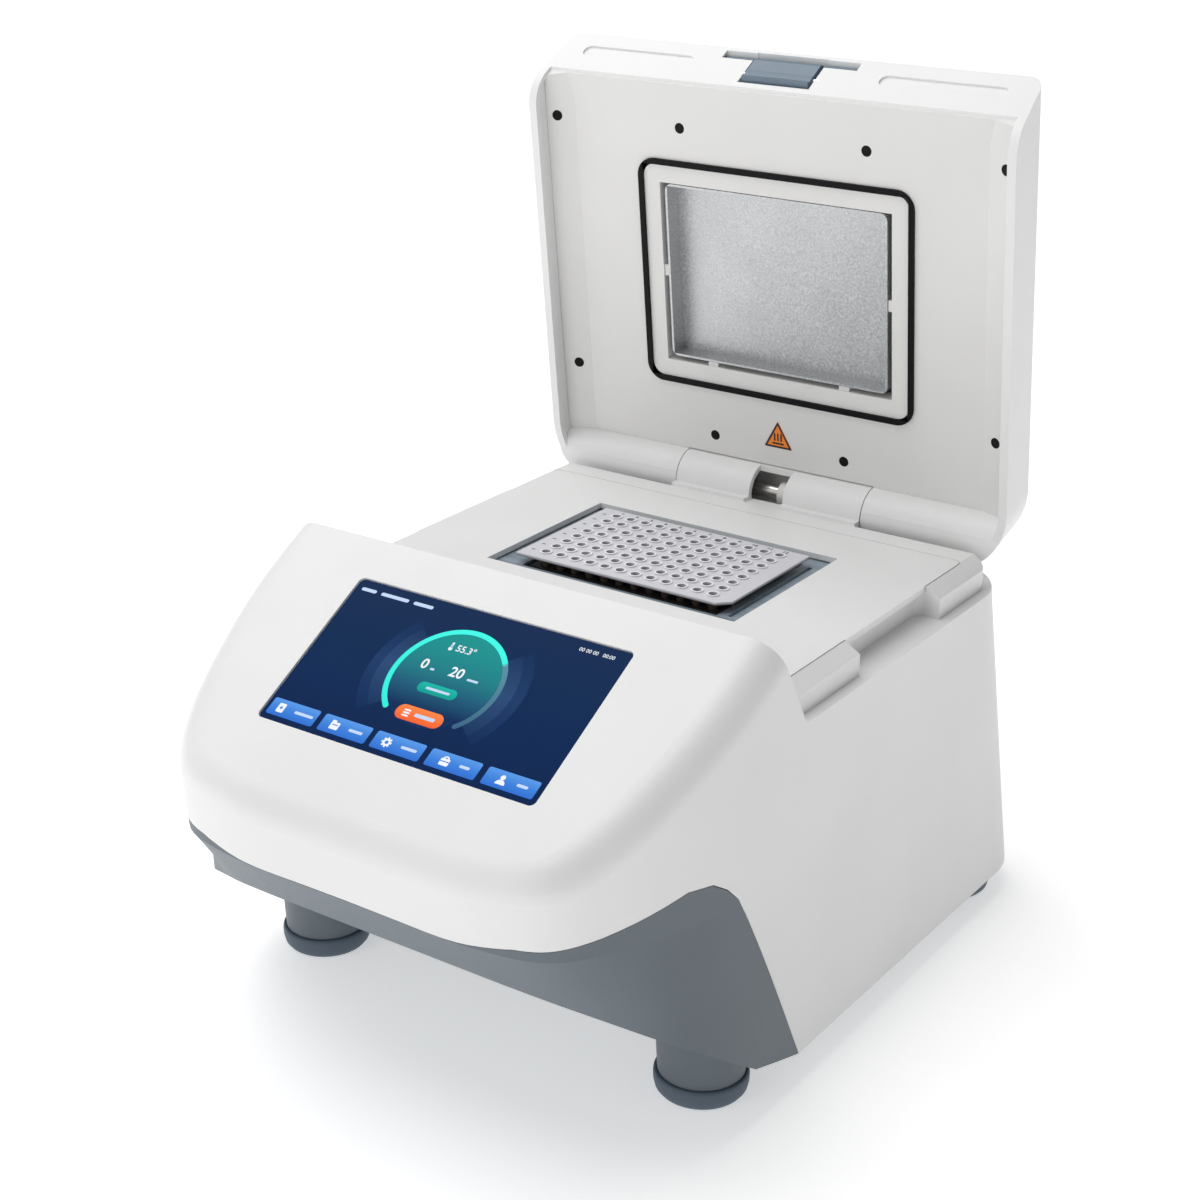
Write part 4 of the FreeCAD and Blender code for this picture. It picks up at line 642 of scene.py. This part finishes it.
# ------------------------------------------------------------------ lid liner and tray frame
# The inner panel, the frame round the tray and the hinge collar are moulded in a slightly warmer
# white than the shell, with a finer grain.
liner_white = moulded_plastic("liner_white", (0.80, 0.795, 0.78), 0.4, 2200.0, 0.25)
finish_nodes(liner_white, "lid_liner", "window_frame", "hinge_link")

# ------------------------------------------------------------------ gasket and plugs
# An extruded black silicone seal runs round the frame. The liner's screws are hidden by pressed-in
# black rubber plugs.
gasket_rubber = moulded_plastic("gasket_rubber", (0.005, 0.005, 0.006), 0.55, 1800.0, 0.4, 0.1, 0.14)
finish_nodes(gasket_rubber, "lid_gasket")
plug_rubber = moulded_plastic("plug_rubber", (0.006, 0.006, 0.006), 0.45, 2000.0, 0.3, 0.1, 0.12)
finish_nodes(plug_rubber, "screw_plugs")

# ------------------------------------------------------------------ heated tray
# A deep-drawn tray of bead-blasted aluminium with an even, finely speckled finish. The heater mat
# and the foam behind it are hidden by the shell.
tray_metal, tree_nodes, links, shader = new_material("tray_metal", (0.55, 0.56, 0.57), 0.42, 0.9)
speckle = texture(tree_nodes, links, 900.0, 6.0)
clouds = texture(tree_nodes, links, 35.0, 3.0)
blend = tree_nodes.new("ShaderNodeMix")
blend.inputs["Factor"].default_value = 0.12
links.new(speckle.outputs["Fac"], blend.inputs["A"])
links.new(clouds.outputs["Fac"], blend.inputs["B"])
add_tones(tree_nodes, links, shader, blend.outputs["Result"],
          [(0.34, (0.41, 0.42, 0.43)), (0.5, (0.53, 0.54, 0.55)), (0.66, (0.68, 0.69, 0.70))])
add_range(tree_nodes, links, speckle.outputs["Fac"], shader.inputs["Roughness"], 0.30, 0.55)
add_bump(tree_nodes, links, shader, speckle.outputs["Fac"], 0.35, 0.0003)
finish_nodes(tray_metal, "heated_plate")
heater_mat = moulded_plastic("heater_mat", (0.35, 0.06, 0.02), 0.55, 700.0, 0.4, 0.08)
finish_nodes(heater_mat, "lid_heater")
foam = moulded_plastic("foam", (0.32, 0.33, 0.34), 0.95, 400.0, 1.0, 0.1)
finish_nodes(foam, "lid_insulation")

# ------------------------------------------------------------------ hot-surface mark
# A vinyl triangle under the tray: an orange field inside a black border, with three plain upright
# strokes over a bar as a generic sign for heat.
OPEN_TILT = math.radians(83.55)
label_low, label_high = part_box("hot_label")
label_orange = moulded_plastic("label_orange", (1.0, 0.26, 0.012), 0.38, 1200.0, 0.1, 0.04)
finish_nodes(label_orange, "hot_label")

label_up = Vector((0.0, -math.cos(OPEN_TILT), math.sin(OPEN_TILT)))
label_out = Vector((0.0, -math.sin(OPEN_TILT), -math.cos(OPEN_TILT)))
LABEL_SKIN = 0.2 * MM
label_face = (label_low + label_high) / 2 + label_out * (LABEL_SKIN / 2)
label_turn = Matrix((Vector((1, 0, 0)), label_up, label_out)).transposed().to_4x4()
on_label = Matrix.Translation(label_face) @ label_turn
LABEL_CORNERS = [(0.0, 6.47), (-7.58, -7.1), (7.58, -7.1)]
BORDER_WIDTH = 1.1
bm = bmesh.new()
for index, start in enumerate(LABEL_CORNERS):
    bar_shape(bm, start, LABEL_CORNERS[(index + 1) % 3], BORDER_WIDTH, INK_RISE)
    dot_shape(bm, *start, BORDER_WIDTH / 2, 0.04, 12)
for stroke in (-2.0, 0.0, 2.0):
    pad_shape(bm, stroke, -1.5, 1.0, 4.6, 0.45, INK_RISE)
pad_shape(bm, 0.0, -5.1, 7.2, 1.0, 0.4, INK_RISE)
bm.normal_update()
bmesh.ops.reverse_faces(bm, faces=[face for face in bm.faces if face.normal.z < 0])
bmesh.ops.transform(bm, matrix=on_label, verts=bm.verts)
label_lines = mesh_piece("label_lines", bm, mark_black)
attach(label_lines, "lid")

# ------------------------------------------------------------------ latch
# The press bar and plate are one gray-blue moulding with a satin face, on a steel pin across the
# notch at the front of the lid.
trim_blue = moulded_plastic("trim_blue", (0.150, 0.212, 0.278), 0.36, 1600.0, 0.25, 0.03)
finish_nodes(trim_blue, "latch_lever")
